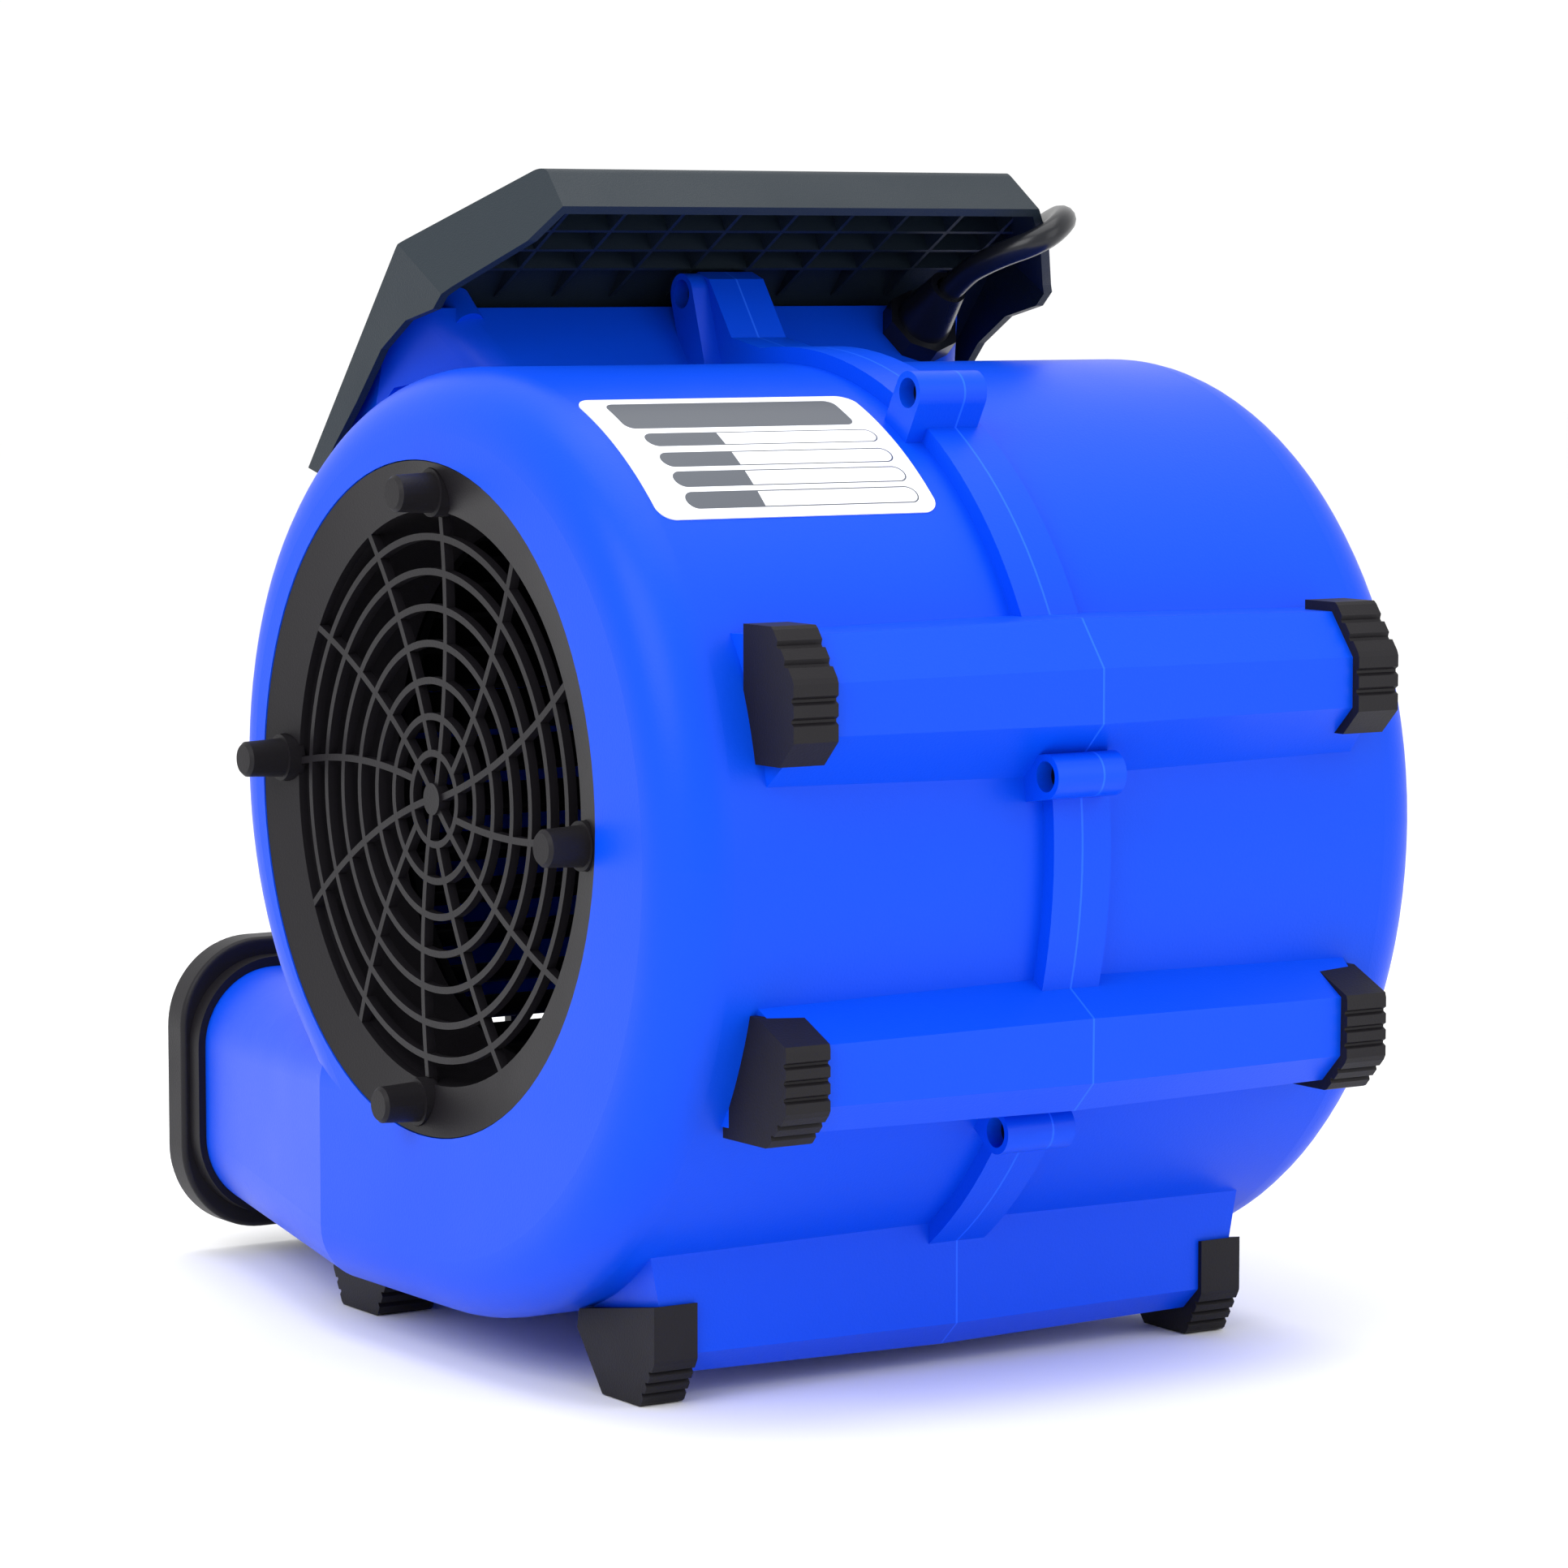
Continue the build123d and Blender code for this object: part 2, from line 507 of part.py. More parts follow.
# ---------------------------------------------------------------- control hood
up_panel = (math.cos(PANEL_TILT), math.sin(PANEL_TILT))
LIP_RUN = math.hypot(HOOD_LIP[0] - HOOD_CREST[0], HOOD_LIP[1] - HOOD_CREST[1])
down_lip = ((HOOD_LIP[0] - HOOD_CREST[0]) / LIP_RUN, (HOOD_LIP[1] - HOOD_CREST[1]) / LIP_RUN)
FAR = 60.0                                         # how far the cutting shape runs past the hood
TOP_TILT = math.atan2(HOOD_CREST[1] - HOOD_BEND[1], HOOD_CREST[0] - HOOD_BEND[0])
TOP_RUN = math.hypot(HOOD_CREST[1] - HOOD_BEND[1], HOOD_CREST[0] - HOOD_BEND[0])
TOP_PANEL = Plane(origin=(0, *yz(*HOOD_BEND)), x_dir=(1, 0, 0),
                  z_dir=(0, -math.sin(TOP_TILT), math.cos(TOP_TILT)))
RIB_DEPTH = 6.0
RIB_THICK = 1.2
RIB_PITCH = 19.0


def hood_block(inset):
    """Everything under the hood's three outer faces, as a block that runs far down."""
    low_front = (HOOD_FRONT[0] - FAR * up_panel[0], HOOD_FRONT[1] - FAR * up_panel[1])
    low_rear = (HOOD_LIP[0] + FAR * down_lip[0], HOOD_LIP[1] + FAR * down_lip[1])
    outline = [yz(*low_front), yz(*HOOD_BEND), yz(*HOOD_CREST), yz(*low_rear),
               yz(low_rear[0], low_front[1])]
    x_prism(outline, inset - HOOD_HALF, HOOD_HALF - inset, inset)
    split(bisect_by=corner_plane(1, -inset), keep=Keep.BOTTOM)
    split(bisect_by=corner_plane(-1, -inset), keep=Keep.BOTTOM)


with BuildPart() as hood_cavity:
    hood_block(HOOD_WALL)

with BuildPart() as hood_ribs:
    with BuildSketch(TOP_PANEL.offset(-HOOD_WALL + 0.2)) as grid:
        with Locations((0, TOP_RUN / 2)):
            with GridLocations(RIB_PITCH, 1, 10, 1):
                Rectangle(RIB_THICK, TOP_RUN + 30)
            with GridLocations(1, 10.5, 1, 5):
                Rectangle(2 * HOOD_HALF, RIB_THICK)
    extrude(grid.sketch, amount=-RIB_DEPTH - 0.2)
    add(hood_cavity.part, mode=Mode.INTERSECT)

with BuildPart() as control_hood:
    hood_block(0.0)
    bend = edges().filter_by(Axis.X).filter_by(
        lambda e: abs(e.center().Z - AXIS_Z - HOOD_BEND[1]) < 0.5)
    fillet(bend, 12)
    crest = edges().filter_by(Axis.X).filter_by(
        lambda e: abs(e.center().Z - AXIS_Z - HOOD_CREST[1]) < 0.5)
    fillet(crest, 5.0)
    x_prism([yz(*HOOD_FRONT), yz(*HOOD_BEND), yz(-46.3, 200), yz(60, 200), yz(16.0, 151.0),
             yz(*HOOD_LIP)] + [yz(*point) for point in HOOD_UNDER],
            -HOOD_HALF - 5, HOOD_HALF + 5, mode=Mode.INTERSECT)
    add(hood_cavity.part, mode=Mode.SUBTRACT)
    add(hood_ribs.part)
    with BuildSketch(PANEL.offset(1.0)) as clearance:
        with Locations(*HOOD_SCREWS):
            Circle(1.8)
        with Locations((0, SWITCH_V)):
            Circle(5.1)
    extrude(clearance.sketch, amount=-5.0, mode=Mode.SUBTRACT)
print("hood", control_hood.part.volume, len(control_hood.part.solids()))
finish(control_hood, "control_hood")

with BuildPart() as hood_screws:
    for u, v in HOOD_SCREWS:
        screw(PANEL.shift_origin(PANEL.from_local_coords((u, v, 0))), 3.7, 2.2, 1.55, 12.0)
finish(hood_screws, "hood_screws")

# ---------------------------------------------------------------- speed switch and its knob
SWITCH_PLANE = PANEL.shift_origin(PANEL.from_local_coords((0, SWITCH_V, 0)))
SPINDLE_RADIUS = 3.0
with BuildPart() as dial_plate:
    with BuildSketch(SWITCH_PLANE) as plate:
        Circle(29)
        Circle(8.2, mode=Mode.SUBTRACT)
    extrude(plate.sketch, amount=0.8)
finish(dial_plate, "dial_plate")

with BuildPart() as rotary_switch:
    with BuildSketch(SWITCH_PLANE.offset(-HOOD_WALL)) as case:
        RectangleRounded(SWITCH_SIZE, SWITCH_SIZE, 2)
    extrude(case.sketch, amount=-17.0)
    with BuildSketch(SWITCH_PLANE.offset(-HOOD_WALL)) as bush:
        Circle(5.0)
    extrude(bush.sketch, amount=HOOD_WALL + 4.2)
    with BuildSketch(SWITCH_PLANE.offset(5.0)) as bush_bore:
        Circle(SPINDLE_RADIUS + RUNNING_GAP)
    extrude(bush_bore.sketch, amount=-15.0, mode=Mode.SUBTRACT)
    with BuildSketch(SWITCH_PLANE.offset(-HOOD_WALL - 17.0)) as tabs:
        with GridLocations(7, 12, 3, 2):
            Rectangle(4.8, 0.8)
    extrude(tabs.sketch, amount=-3.0)
finish(rotary_switch, "rotary_switch")

with BuildPart() as switch_nut:
    with BuildSketch(SWITCH_PLANE) as nut:
        RegularPolygon(7.4, 6)
        Circle(5.0, mode=Mode.SUBTRACT)
    extrude(nut.sketch, amount=2.2)
finish(switch_nut, "switch_nut")

with BuildPart() as switch_spindle:
    with BuildSketch(SWITCH_PLANE.offset(-9.5)) as spindle:
        Circle(SPINDLE_RADIUS)
    extrude(spindle.sketch, amount=22.0)
finish(switch_spindle, "switch_spindle")

with BuildPart() as speed_knob:
    with BuildSketch(SWITCH_PLANE.offset(1.3)) as skirt:
        Circle(17.5)
    extrude(skirt.sketch, amount=5.0, taper=8)
    with BuildSketch(SWITCH_PLANE.offset(5.0)) as grip:
        SlotOverall(31, 11)
        Circle(10.5)
    extrude(grip.sketch, amount=12.5, taper=4)
    top_edges = edges().filter_by(lambda e: SWITCH_PLANE.to_local_coords(e.center()).Z > 17.0)
    fillet(top_edges, 1.2)
    with BuildSketch(SWITCH_PLANE) as hollow:
        Circle(8.6)
    extrude(hollow.sketch, amount=5.2, mode=Mode.SUBTRACT)
    with BuildSketch(SWITCH_PLANE) as spindle_bore:
        Circle(SPINDLE_RADIUS)
    extrude(spindle_bore.sketch, amount=12.5, mode=Mode.SUBTRACT)
finish(speed_knob, "speed_knob")

# ---------------------------------------------------------------- parts in the switch compartment
BOX_Y, BOX_Z = -56.0, 113.0
with BuildPart() as capacitor:
    x_disc([yz(BOX_Y, BOX_Z)], 9.0, 26.0, 66.0)
    x_disc([yz(BOX_Y, BOX_Z)], 8.0, 66.0, 67.5)
    with BuildSketch(Plane.YZ.offset(67.5)) as tags:
        with Locations(yz(BOX_Y - 3.5, BOX_Z), yz(BOX_Y + 3.5, BOX_Z)):
            Rectangle(0.8, 4.8)
    extrude(tags.sketch, amount=7.0)
finish(capacitor, "capacitor")

with BuildPart() as capacitor_clip:
    x_disc([yz(BOX_Y, BOX_Z)], 10.0, 40.0, 48.0)
    x_prism([yz(BOX_Y - 8, BOX_Z), yz(BOX_Y - 8, BOX_Z - 18), yz(BOX_Y + 8, BOX_Z - 18),
             yz(BOX_Y + 8, BOX_Z)], 40.0, 48.0)
    add(drum_form.part, mode=Mode.SUBTRACT)
    x_disc([yz(BOX_Y, BOX_Z)], 9.0, 40.0, 48.0, Mode.SUBTRACT)
finish(capacitor_clip, "capacitor_clip")

with BuildPart() as terminal_block:
    x_prism([yz(BOX_Y - 6, BOX_Z - 20), yz(BOX_Y + 6, BOX_Z - 20), yz(BOX_Y + 6, BOX_Z + 2),
             yz(BOX_Y - 6, BOX_Z + 2)], -58.0, -22.0)
    add(drum_form.part, mode=Mode.SUBTRACT)
    with BuildSketch(Plane.XY.offset(AXIS_Z + BOX_Z + 2)) as wells:
        with Locations((-40, AXIS_Y + BOX_Y)):
            with GridLocations(11, 6.5, 3, 2):
                Circle(2.0)
    extrude(wells.sketch, amount=-5.0, mode=Mode.SUBTRACT)
finish(terminal_block, "terminal_block")

# ---------------------------------------------------------------- rating plate
PLATE_FROM, PLATE_TO = 44.2, 68.9
PLATE_THICK = 0.35
with BuildPart() as rating_plate:
    with BuildSketch(Plane.YZ.offset(18.0)) as strip:
        with BuildLine():
            sweep_angle = PLATE_TO - PLATE_FROM
            under = CenterArc(yz(DRUM_Y, DRUM_Z), DRUM_RADIUS, PLATE_FROM, sweep_angle)
            over = CenterArc(yz(DRUM_Y, DRUM_Z), DRUM_RADIUS + PLATE_THICK, PLATE_FROM, sweep_angle)
            Line(under @ 0, over @ 0)
            Line(under @ 1, over @ 1)
        make_face()
    extrude(strip.sketch, amount=87.0)
    fillet(edges().filter_by(lambda e: e.length < 2 * PLATE_THICK), 5.0)
finish(rating_plate, "rating_plate")

# ---------------------------------------------------------------- rubber feet
CAP_FROM, CAP_TO = 83.7, 97.2


GROOVE_DEPTH = 1.1
GROOVE_SHARE = 0.42                  # part of each pitch that the groove takes at the surface
GROOVE_SLOPE = 0.14                  # part of each pitch that one groove flank takes


def ribbed(start, end, ribs):
    """The points of a ribbed face between two corners: flat ribs, grooves with sloping flanks."""
    run = (end[0] - start[0], end[1] - start[1])
    length = math.hypot(*run)
    inward = (run[1] / length * GROOVE_DEPTH, -run[0] / length * GROOVE_DEPTH)
    pitch = 1 / (ribs - GROOVE_SHARE)
    corners = []
    for rib in range(ribs):
        rise = rib * pitch
        fall = rise + (1 - GROOVE_SHARE) * pitch
        corners += [(rise, 0), (fall, 0)]
        if rib < ribs - 1:
            corners += [(fall + GROOVE_SLOPE * pitch, 1), (rise + (1 - GROOVE_SLOPE) * pitch, 1)]
    return [(start[0] + run[0] * share + inward[0] * sunk,
             start[1] + run[1] * share + inward[1] * sunk) for share, sunk in corners]


UPPER_CAP = [(124, 18.5), (124, 54.0), (137.0, 54.0), *ribbed((138.0, 53.2), (147.0, 41.2), 3),
             *ribbed((147.6, 39.8), (147.6, 26.2), 3), (147.6, 25.0), (141.0, 18.5)]
LOWER_CAP = [(114, -79.4), (114, -46.2), (130.0, -46.2), (143.6, -52.4),
             *ribbed((144.0, -53.8), (144.0, -69.6), 4), *ribbed((143.2, -71.0), (135.6, -79.0), 3),
             (134.4, -79.4)]
BASE_CAP = [(41.0, -136.0), (79.8, -129.5), (79.8, -144.4),
            *ribbed((79.4, -145.4), (73.0, -156.6), 4), (72.0, -157.3), (53.0, -157.3),
            (39.8, -141.2)]
FRONT_PAD = [(-102.0, -139.0), (-70.0, -139.0), (-70.0, -147.0),
             *ribbed((-70.4, -148.0), (-75.0, -156.6), 3), (-76.0, -157.3), (-96.0, -157.3),
             *ribbed((-97.0, -156.6), (-101.6, -148.0), 3), (-102.0, -147.0)]

with BuildPart() as rail_form:
    rails(0.0)
    add(drum_form.part)

for name, profile in (("upper_rail_feet", UPPER_CAP), ("lower_rail_feet", LOWER_CAP),
                      ("base_rail_feet", BASE_CAP)):
    with BuildPart() as caps:
        outline = [yz(*point) for point in profile]
        x_prism(outline, CAP_FROM, CAP_TO)
        x_prism(outline, -CAP_TO, -CAP_FROM)
        add(rail_form.part, mode=Mode.SUBTRACT)
    print(name, caps.part.volume, len(caps.part.solids()))
    finish(caps, name)

with BuildPart() as front_feet:
    outline = [yz(*point) for point in FRONT_PAD]
    x_prism(outline, 78.0, 96.0)
    x_prism(outline, -96.0, -78.0)
    add(drum_form.part, mode=Mode.SUBTRACT)
    with BuildSketch(Plane.XY.offset(AXIS_Z + BOTTOM_Z + 1.0)) as peg_holes:
        with Locations(*[(x, AXIS_Y + y) for x, y in FRONT_FOOT_PEGS]):
            Circle(FOOT_PEG_RADIUS + 0.05)
    extrude(peg_holes.sketch, amount=-7.5, mode=Mode.SUBTRACT)
print("front feet", front_feet.part.volume, len(front_feet.part.solids()))
finish(front_feet, "front_feet")

# ---------------------------------------------------------------- motor, inside the wheel's left half
AXLE = yz(0, 0)
CASE_RADIUS = 46.0
CASE_WALL = 2.5
REAR_END, FRONT_END = -94.0, -14.0      # outer faces of the motor's two end shields
BEARING_RADIUS = 15.0
BEARING_WIDTH = 9.0
MOTOR_SCREWS = [polar(36.0, angle) for angle in (30, 150, 270)]

with BuildPart() as motor_mount:
    x_disc([AXLE], 44.0, MOUNT_X * -1, REAR_END)
    for angle in MOUNT_ANGLES:
        with BuildSketch(Plane.YZ.offset(-MOUNT_X)) as arm:
            with BuildLine():
                Line(polar(20, angle), polar(MOUNT_RADIUS, angle))
            trace(line_width=11)
        extrude(arm.sketch, amount=REAR_END + MOUNT_X)
    x_disc(MOUNT_PADS, 8.0, -MOUNT_X, REAR_END)
    x_disc([AXLE], 21.0, -MOUNT_X, REAR_END, Mode.SUBTRACT)
    x_disc(MOUNT_PADS + MOTOR_SCREWS, 2.2, -MOUNT_X, REAR_END, Mode.SUBTRACT)
finish(motor_mount, "motor_mount")

with BuildPart() as motor_mount_screws:
    for pad in MOUNT_PADS:
        screw(Plane(origin=(REAR_END, *pad), z_dir=(1, 0, 0)), 4.6, 2.8, 1.65, 16.0)
finish(motor_mount_screws, "motor_mount_screws")

with BuildPart() as motor_screws:
    for spot in MOTOR_SCREWS:
        screw(Plane(origin=(-MOUNT_X, *spot), z_dir=(-1, 0, 0)), 3.6, 2.2, 1.9, 8.4)
finish(motor_screws, "motor_screws")

with BuildPart() as motor_case:
    x_disc([AXLE], CASE_RADIUS, REAR_END + 10, FRONT_END - 10)
    x_disc([AXLE], CASE_RADIUS - CASE_WALL, REAR_END + 10, FRONT_END - 10, Mode.SUBTRACT)
finish(motor_case, "motor_case")


def end_shield(outer, inward):
    """One end of the motor: a dished plate with a bearing pocket, its outer face at x = outer."""
    x_disc([AXLE], CASE_RADIUS, outer, outer + inward * 5)
    x_disc([AXLE], CASE_RADIUS, outer + inward * 5, outer + inward * 10)
    x_disc([AXLE], 42.0, outer + inward * 5, outer + inward * 10, Mode.SUBTRACT)
    x_disc([AXLE], BEARING_RADIUS + 4, outer + inward * 5, outer + inward * (2 + BEARING_WIDTH))
    x_disc([AXLE], BEARING_RADIUS, outer + inward * 2, outer + inward * (3 + BEARING_WIDTH),
           Mode.SUBTRACT)
    x_disc([AXLE], SHAFT_RADIUS + 1, outer, outer + inward * 3, Mode.SUBTRACT)


with BuildPart() as motor_end_shield_rear:
    end_shield(REAR_END, 1)
    x_disc(MOTOR_SCREWS, 1.9, REAR_END, REAR_END + 5, Mode.SUBTRACT)
finish(motor_end_shield_rear, "motor_end_shield_rear")

with BuildPart() as motor_end_shield_front:
    end_shield(FRONT_END, -1)
finish(motor_end_shield_front, "motor_end_shield_front")

for name, start in (("motor_bearing_rear", REAR_END + 2), ("motor_bearing_front", FRONT_END - 11)):
    with BuildPart() as bearing:
        x_disc([AXLE], BEARING_RADIUS, start, start + BEARING_WIDTH)
        x_disc([AXLE], SHAFT_RADIUS + RUNNING_GAP, start, start + BEARING_WIDTH, Mode.SUBTRACT)
        for face in (start, start + BEARING_WIDTH):
            with BuildSketch(Plane.YZ.offset(face)) as shield_groove:
                with Locations(AXLE):
                    Circle(12.5)
                    Circle(7.5, mode=Mode.SUBTRACT)
            extrude(shield_groove.sketch, amount=0.6 if face == start else -0.6, mode=Mode.SUBTRACT)
    finish(bearing, name)

STACK_FROM, STACK_TO = -72.0, -36.0
SLOTS = 18
with BuildPart() as stator_core:
    with BuildSketch(Plane.YZ.offset(STACK_FROM)) as lamination:
        with Locations(AXLE):
            Circle(CASE_RADIUS - CASE_WALL)
            Circle(27.0, mode=Mode.SUBTRACT)
            with PolarLocations(33.5, SLOTS):
                SlotCenterToCenter(7.0, 4.6, mode=Mode.SUBTRACT)
    extrude(lamination.sketch, amount=STACK_TO - STACK_FROM)
finish(stator_core, "stator_core")

with BuildPart() as stator_windings:
    for start, end in ((-82.0, STACK_FROM), (STACK_TO, -26.0)):
        x_disc([AXLE], 41.0, start, end)
        x_disc([AXLE], 29.5, start, end, Mode.SUBTRACT)
    fillet(edges().filter_by(GeomType.CIRCLE).filter_by(
        lambda e: abs(e.center().X + 82.0) < 0.1 or abs(e.center().X + 26.0) < 0.1), 2.5)
finish(stator_windings, "stator_windings")

with BuildPart() as rotor_core:
    x_disc([AXLE], 26.6, STACK_FROM, STACK_TO)
    x_disc([AXLE], 22.0, STACK_FROM - 4, STACK_TO + 4)
    x_disc([AXLE], SHAFT_RADIUS, STACK_FROM - 4, STACK_TO + 4, Mode.SUBTRACT)
finish(rotor_core, "rotor_core")

with BuildPart() as motor_shaft:
    x_disc([AXLE], SHAFT_RADIUS, REAR_END + 0.8, 20.0)
    chamfer(edges().filter_by(GeomType.CIRCLE), 0.5)
finish(motor_shaft, "motor_shaft")

# ---------------------------------------------------------------- fan wheel and its hub
HUB_RADIUS = 11.0
with BuildPart() as impeller:
    with BuildSketch(Plane.YZ.offset(-WHEEL_HALF)) as blades:
        for index in range(BLADES):
            turn = index * 360 / BLADES
            with BuildLine():
                ThreePointArc(polar(WHEEL_EYE + 0.6, turn), polar(82.5, turn + 0.8),
                              polar(WHEEL_RADIUS - 0.6, turn - 5))
            trace(line_width=1.3)
    extrude(blades.sketch, amount=2 * WHEEL_HALF)
    for start in (-WHEEL_HALF, WHEEL_HALF - 2.5):
        x_disc([AXLE], WHEEL_RADIUS, start, start + 2.5)
        x_disc([AXLE], WHEEL_EYE, start, start + 2.5, Mode.SUBTRACT)
    with BuildSketch(Plane.YZ) as disc:
        with Locations(AXLE):
            Circle(WHEEL_RADIUS)
            Circle(HUB_RADIUS, mode=Mode.SUBTRACT)
            with PolarLocations(50, 6):
                Circle(9.0, mode=Mode.SUBTRACT)
    extrude(disc.sketch, amount=2.5)
print("impeller", impeller.part.volume, len(impeller.part.solids()))
finish(impeller, "impeller")

SET_SCREW_X = 12.0
with BuildPart() as impeller_hub:
    x_disc([AXLE], HUB_RADIUS, -5.0, 18.0)
    x_disc([AXLE], 20.0, 2.5, 5.5)
    x_disc([AXLE], SHAFT_RADIUS, -5.0, 18.0, Mode.SUBTRACT)
    with BuildSketch(Plane.XY.offset(AXIS_Z)) as tapped:
        with Locations((SET_SCREW_X, AXIS_Y)):
            Circle(2.0)
    extrude(tapped.sketch, amount=HUB_RADIUS + 1, mode=Mode.SUBTRACT)
finish(impeller_hub, "impeller_hub")

with BuildPart() as hub_set_screw:
    with BuildSketch(Plane.XY.offset(AXIS_Z + SHAFT_RADIUS)) as stud:
        with Locations((SET_SCREW_X, AXIS_Y)):
            Circle(2.0)
    extrude(stud.sketch, amount=HUB_RADIUS - SHAFT_RADIUS - 0.5)
    with BuildSketch(Plane.XY.offset(AXIS_Z + HUB_RADIUS - 0.5)) as socket:
        with Locations((SET_SCREW_X, AXIS_Y)):
            RegularPolygon(1.2, 6)
    extrude(socket.sketch, amount=-2.0, mode=Mode.SUBTRACT)
finish(hub_set_screw, "hub_set_screw")

# ---------------------------------------------------------------- power cord, gland and plug
CORD_RADIUS = CORD_DIAMETER / 2
with BuildPart() as gland_nut:
    with BuildSketch(GLAND.offset(-WALL - 3.2)) as lock_nut:
        RegularPolygon(9.0, 6, major_radius=False)
        Circle(GLAND_BORE - 0.05, mode=Mode.SUBTRACT)
    extrude(lock_nut.sketch, amount=3.0)
finish(gland_nut, "gland_nut")

# The cord's route from the gland, round the hood's rear corner and down to the floor.
CORD_ROUTE = [(-67.6, -50.8, 117.0), (-67.6, -21.5, 140.2), (-69.5, -3.0, 147.0), (-77.5, 9.0, 151.5),
              (-89.5, 4.0, 157.5), (-98.5, -12.0, 158.5), (-107.5, -34.0, 155.0),
              (-114.0, -66.0, 146.0), (-114.0, -105.0, 108.0), (-113.0, -131.0, 60.0),
              (-115.0, -144.0, 4.0), (-118.0, -149.0, -52.0), (-120.5, -152.0, -102.0),
              (-121.5, -158.0, -132.0), (-124.5, -173.0, -146.5)]
COIL_X, COIL_Y = -174.0, -154.0          # centre of the coil, from the fan axis
COIL_OUTER, COIL_INNER = 54.5, 20.75     # the cord's line in the outermost and innermost turn
COIL_LAYERS = 2


def route_radii(points):
    """One radius for each corner: as large as the two runs beside it allow."""
    radii = []
    for before, here, after in zip(points, points[1:], points[2:]):
        arriving = Vector(*here) - Vector(*before)
        leaving = Vector(*after) - Vector(*here)
        half_turn = math.radians(arriving.get_angle(leaving) / 2)
        radii.append(0.45 * min(arriving.length, leaving.length) / math.tan(half_turn))
    return radii


with BuildPart() as cord_coil:
    with BuildSketch(Plane.XY) as ring:
        with Locations((COIL_X, AXIS_Y + COIL_Y)):
            Circle(COIL_OUTER + CORD_RADIUS)
            Circle(COIL_INNER - CORD_RADIUS, mode=Mode.SUBTRACT)
    extrude(ring.sketch, amount=COIL_LAYERS * CORD_DIAMETER)
finish(cord_coil, "cord_coil")

print("cord radii", [round(radius, 1) for radius in route_radii(CORD_ROUTE)])
with BuildPart() as power_cord:
    with BuildLine() as route:
        FilletPolyline(*[(x, *yz(y, z)) for x, y, z in CORD_ROUTE], radius=route_radii(CORD_ROUTE))
    centre_line = route.wires()[0]
    with BuildSketch(Plane(origin=centre_line @ 0, z_dir=centre_line % 0)) as cord_section:
        Circle(CORD_RADIUS)
    sweep(cord_section.sketch, path=centre_line)
    print("cord", power_cord.part.volume, centre_line.length * math.pi * CORD_RADIUS ** 2)
    add(cord_coil.part, mode=Mode.SUBTRACT)
print("cord solids", len(power_cord.part.solids()))
finish(power_cord, "power_cord")

with BuildPart() as strain_relief:
    with BuildSketch(GLAND.offset(-6.5)) as stem:
        Circle(GLAND_BORE - 0.05)
    extrude(stem.sketch, amount=6.5)
    with BuildSketch(GLAND) as flange:
        RegularPolygon(10.5, 8, major_radius=False)
    extrude(flange.sketch, amount=6.0)
    with BuildSketch(GLAND.offset(6.0)) as boot_base:
        Circle(8.4)
    with BuildSketch(GLAND.offset(22.0)) as boot_tip:
        Circle(5.6)
    loft([boot_base.sketch.face(), boot_tip.sketch.face()])
    add(power_cord.part, mode=Mode.SUBTRACT)
finish(strain_relief, "strain_relief")

PLUG_ANGLE = math.radians(-25)           # where the last turn leaves the coil
PLUG_HEADING = Vector(math.sin(PLUG_ANGLE), -math.cos(PLUG_ANGLE), 0)
LAST_TURN = Vector(COIL_X + COIL_OUTER * math.cos(PLUG_ANGLE),
                   AXIS_Y + COIL_Y + COIL_OUTER * math.sin(PLUG_ANGLE), 0)


def plug_plane(distance, height):
    """A plane across the plug's line, so far past the last turn and so high above the floor."""
    place = LAST_TURN + PLUG_HEADING * distance + Vector(0, 0, height)
    return Plane(origin=place, x_dir=(-PLUG_HEADING.Y, PLUG_HEADING.X, 0), z_dir=PLUG_HEADING)


with BuildPart() as power_plug:
    with BuildSketch(plug_plane(14, 4.8)) as sleeve:
        Circle(4.6)
    with BuildSketch(plug_plane(42, 9.0)) as collar:
        Circle(7.5)
    loft([sleeve.sketch.face(), collar.sketch.face()])
    with BuildSketch(plug_plane(42, 11.5)) as back:
        RectangleRounded(24, 18, 5)
    with BuildSketch(plug_plane(72, 12.5)) as front:
        RectangleRounded(40, 25, 7)
    loft([back.sketch.face(), front.sketch.face()])
    extrude(front.sketch, amount=8)
    add(cord_coil.part, mode=Mode.SUBTRACT)
print("plug", power_plug.part.volume, len(power_plug.part.solids()))
finish(power_plug, "power_plug")

with BuildPart() as plug_pins:
    with BuildSketch(plug_plane(80, 12.5)) as pins:
        with Locations((0, 7.9)):
            Rectangle(1.6, 6.3)
        with Locations((-7.9, -2.0)):
            Rectangle(1.6, 6.3, rotation=30)
        with Locations((7.9, -2.0)):
            Rectangle(1.6, 6.3, rotation=-30)
    extrude(pins.sketch, amount=17.0)
finish(plug_pins, "plug_pins")
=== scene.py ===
# %% [markdown]
# # A compact carpet dryer
# The machine is a snail-shaped blower in blue moulded plastic, with a charcoal hood over its speed
# switch, a recessed grille on each side, rubber feet on moulded rails and a black mains lead. Its
# hard parts come finished in shape from CAD. This lesson gives them their surfaces, adds the pieces
# that are easier to draw in Blender, and lights the whole for a product view.

# %% Load the fixed frame
import math
import bpy
from mathutils import Matrix, Vector


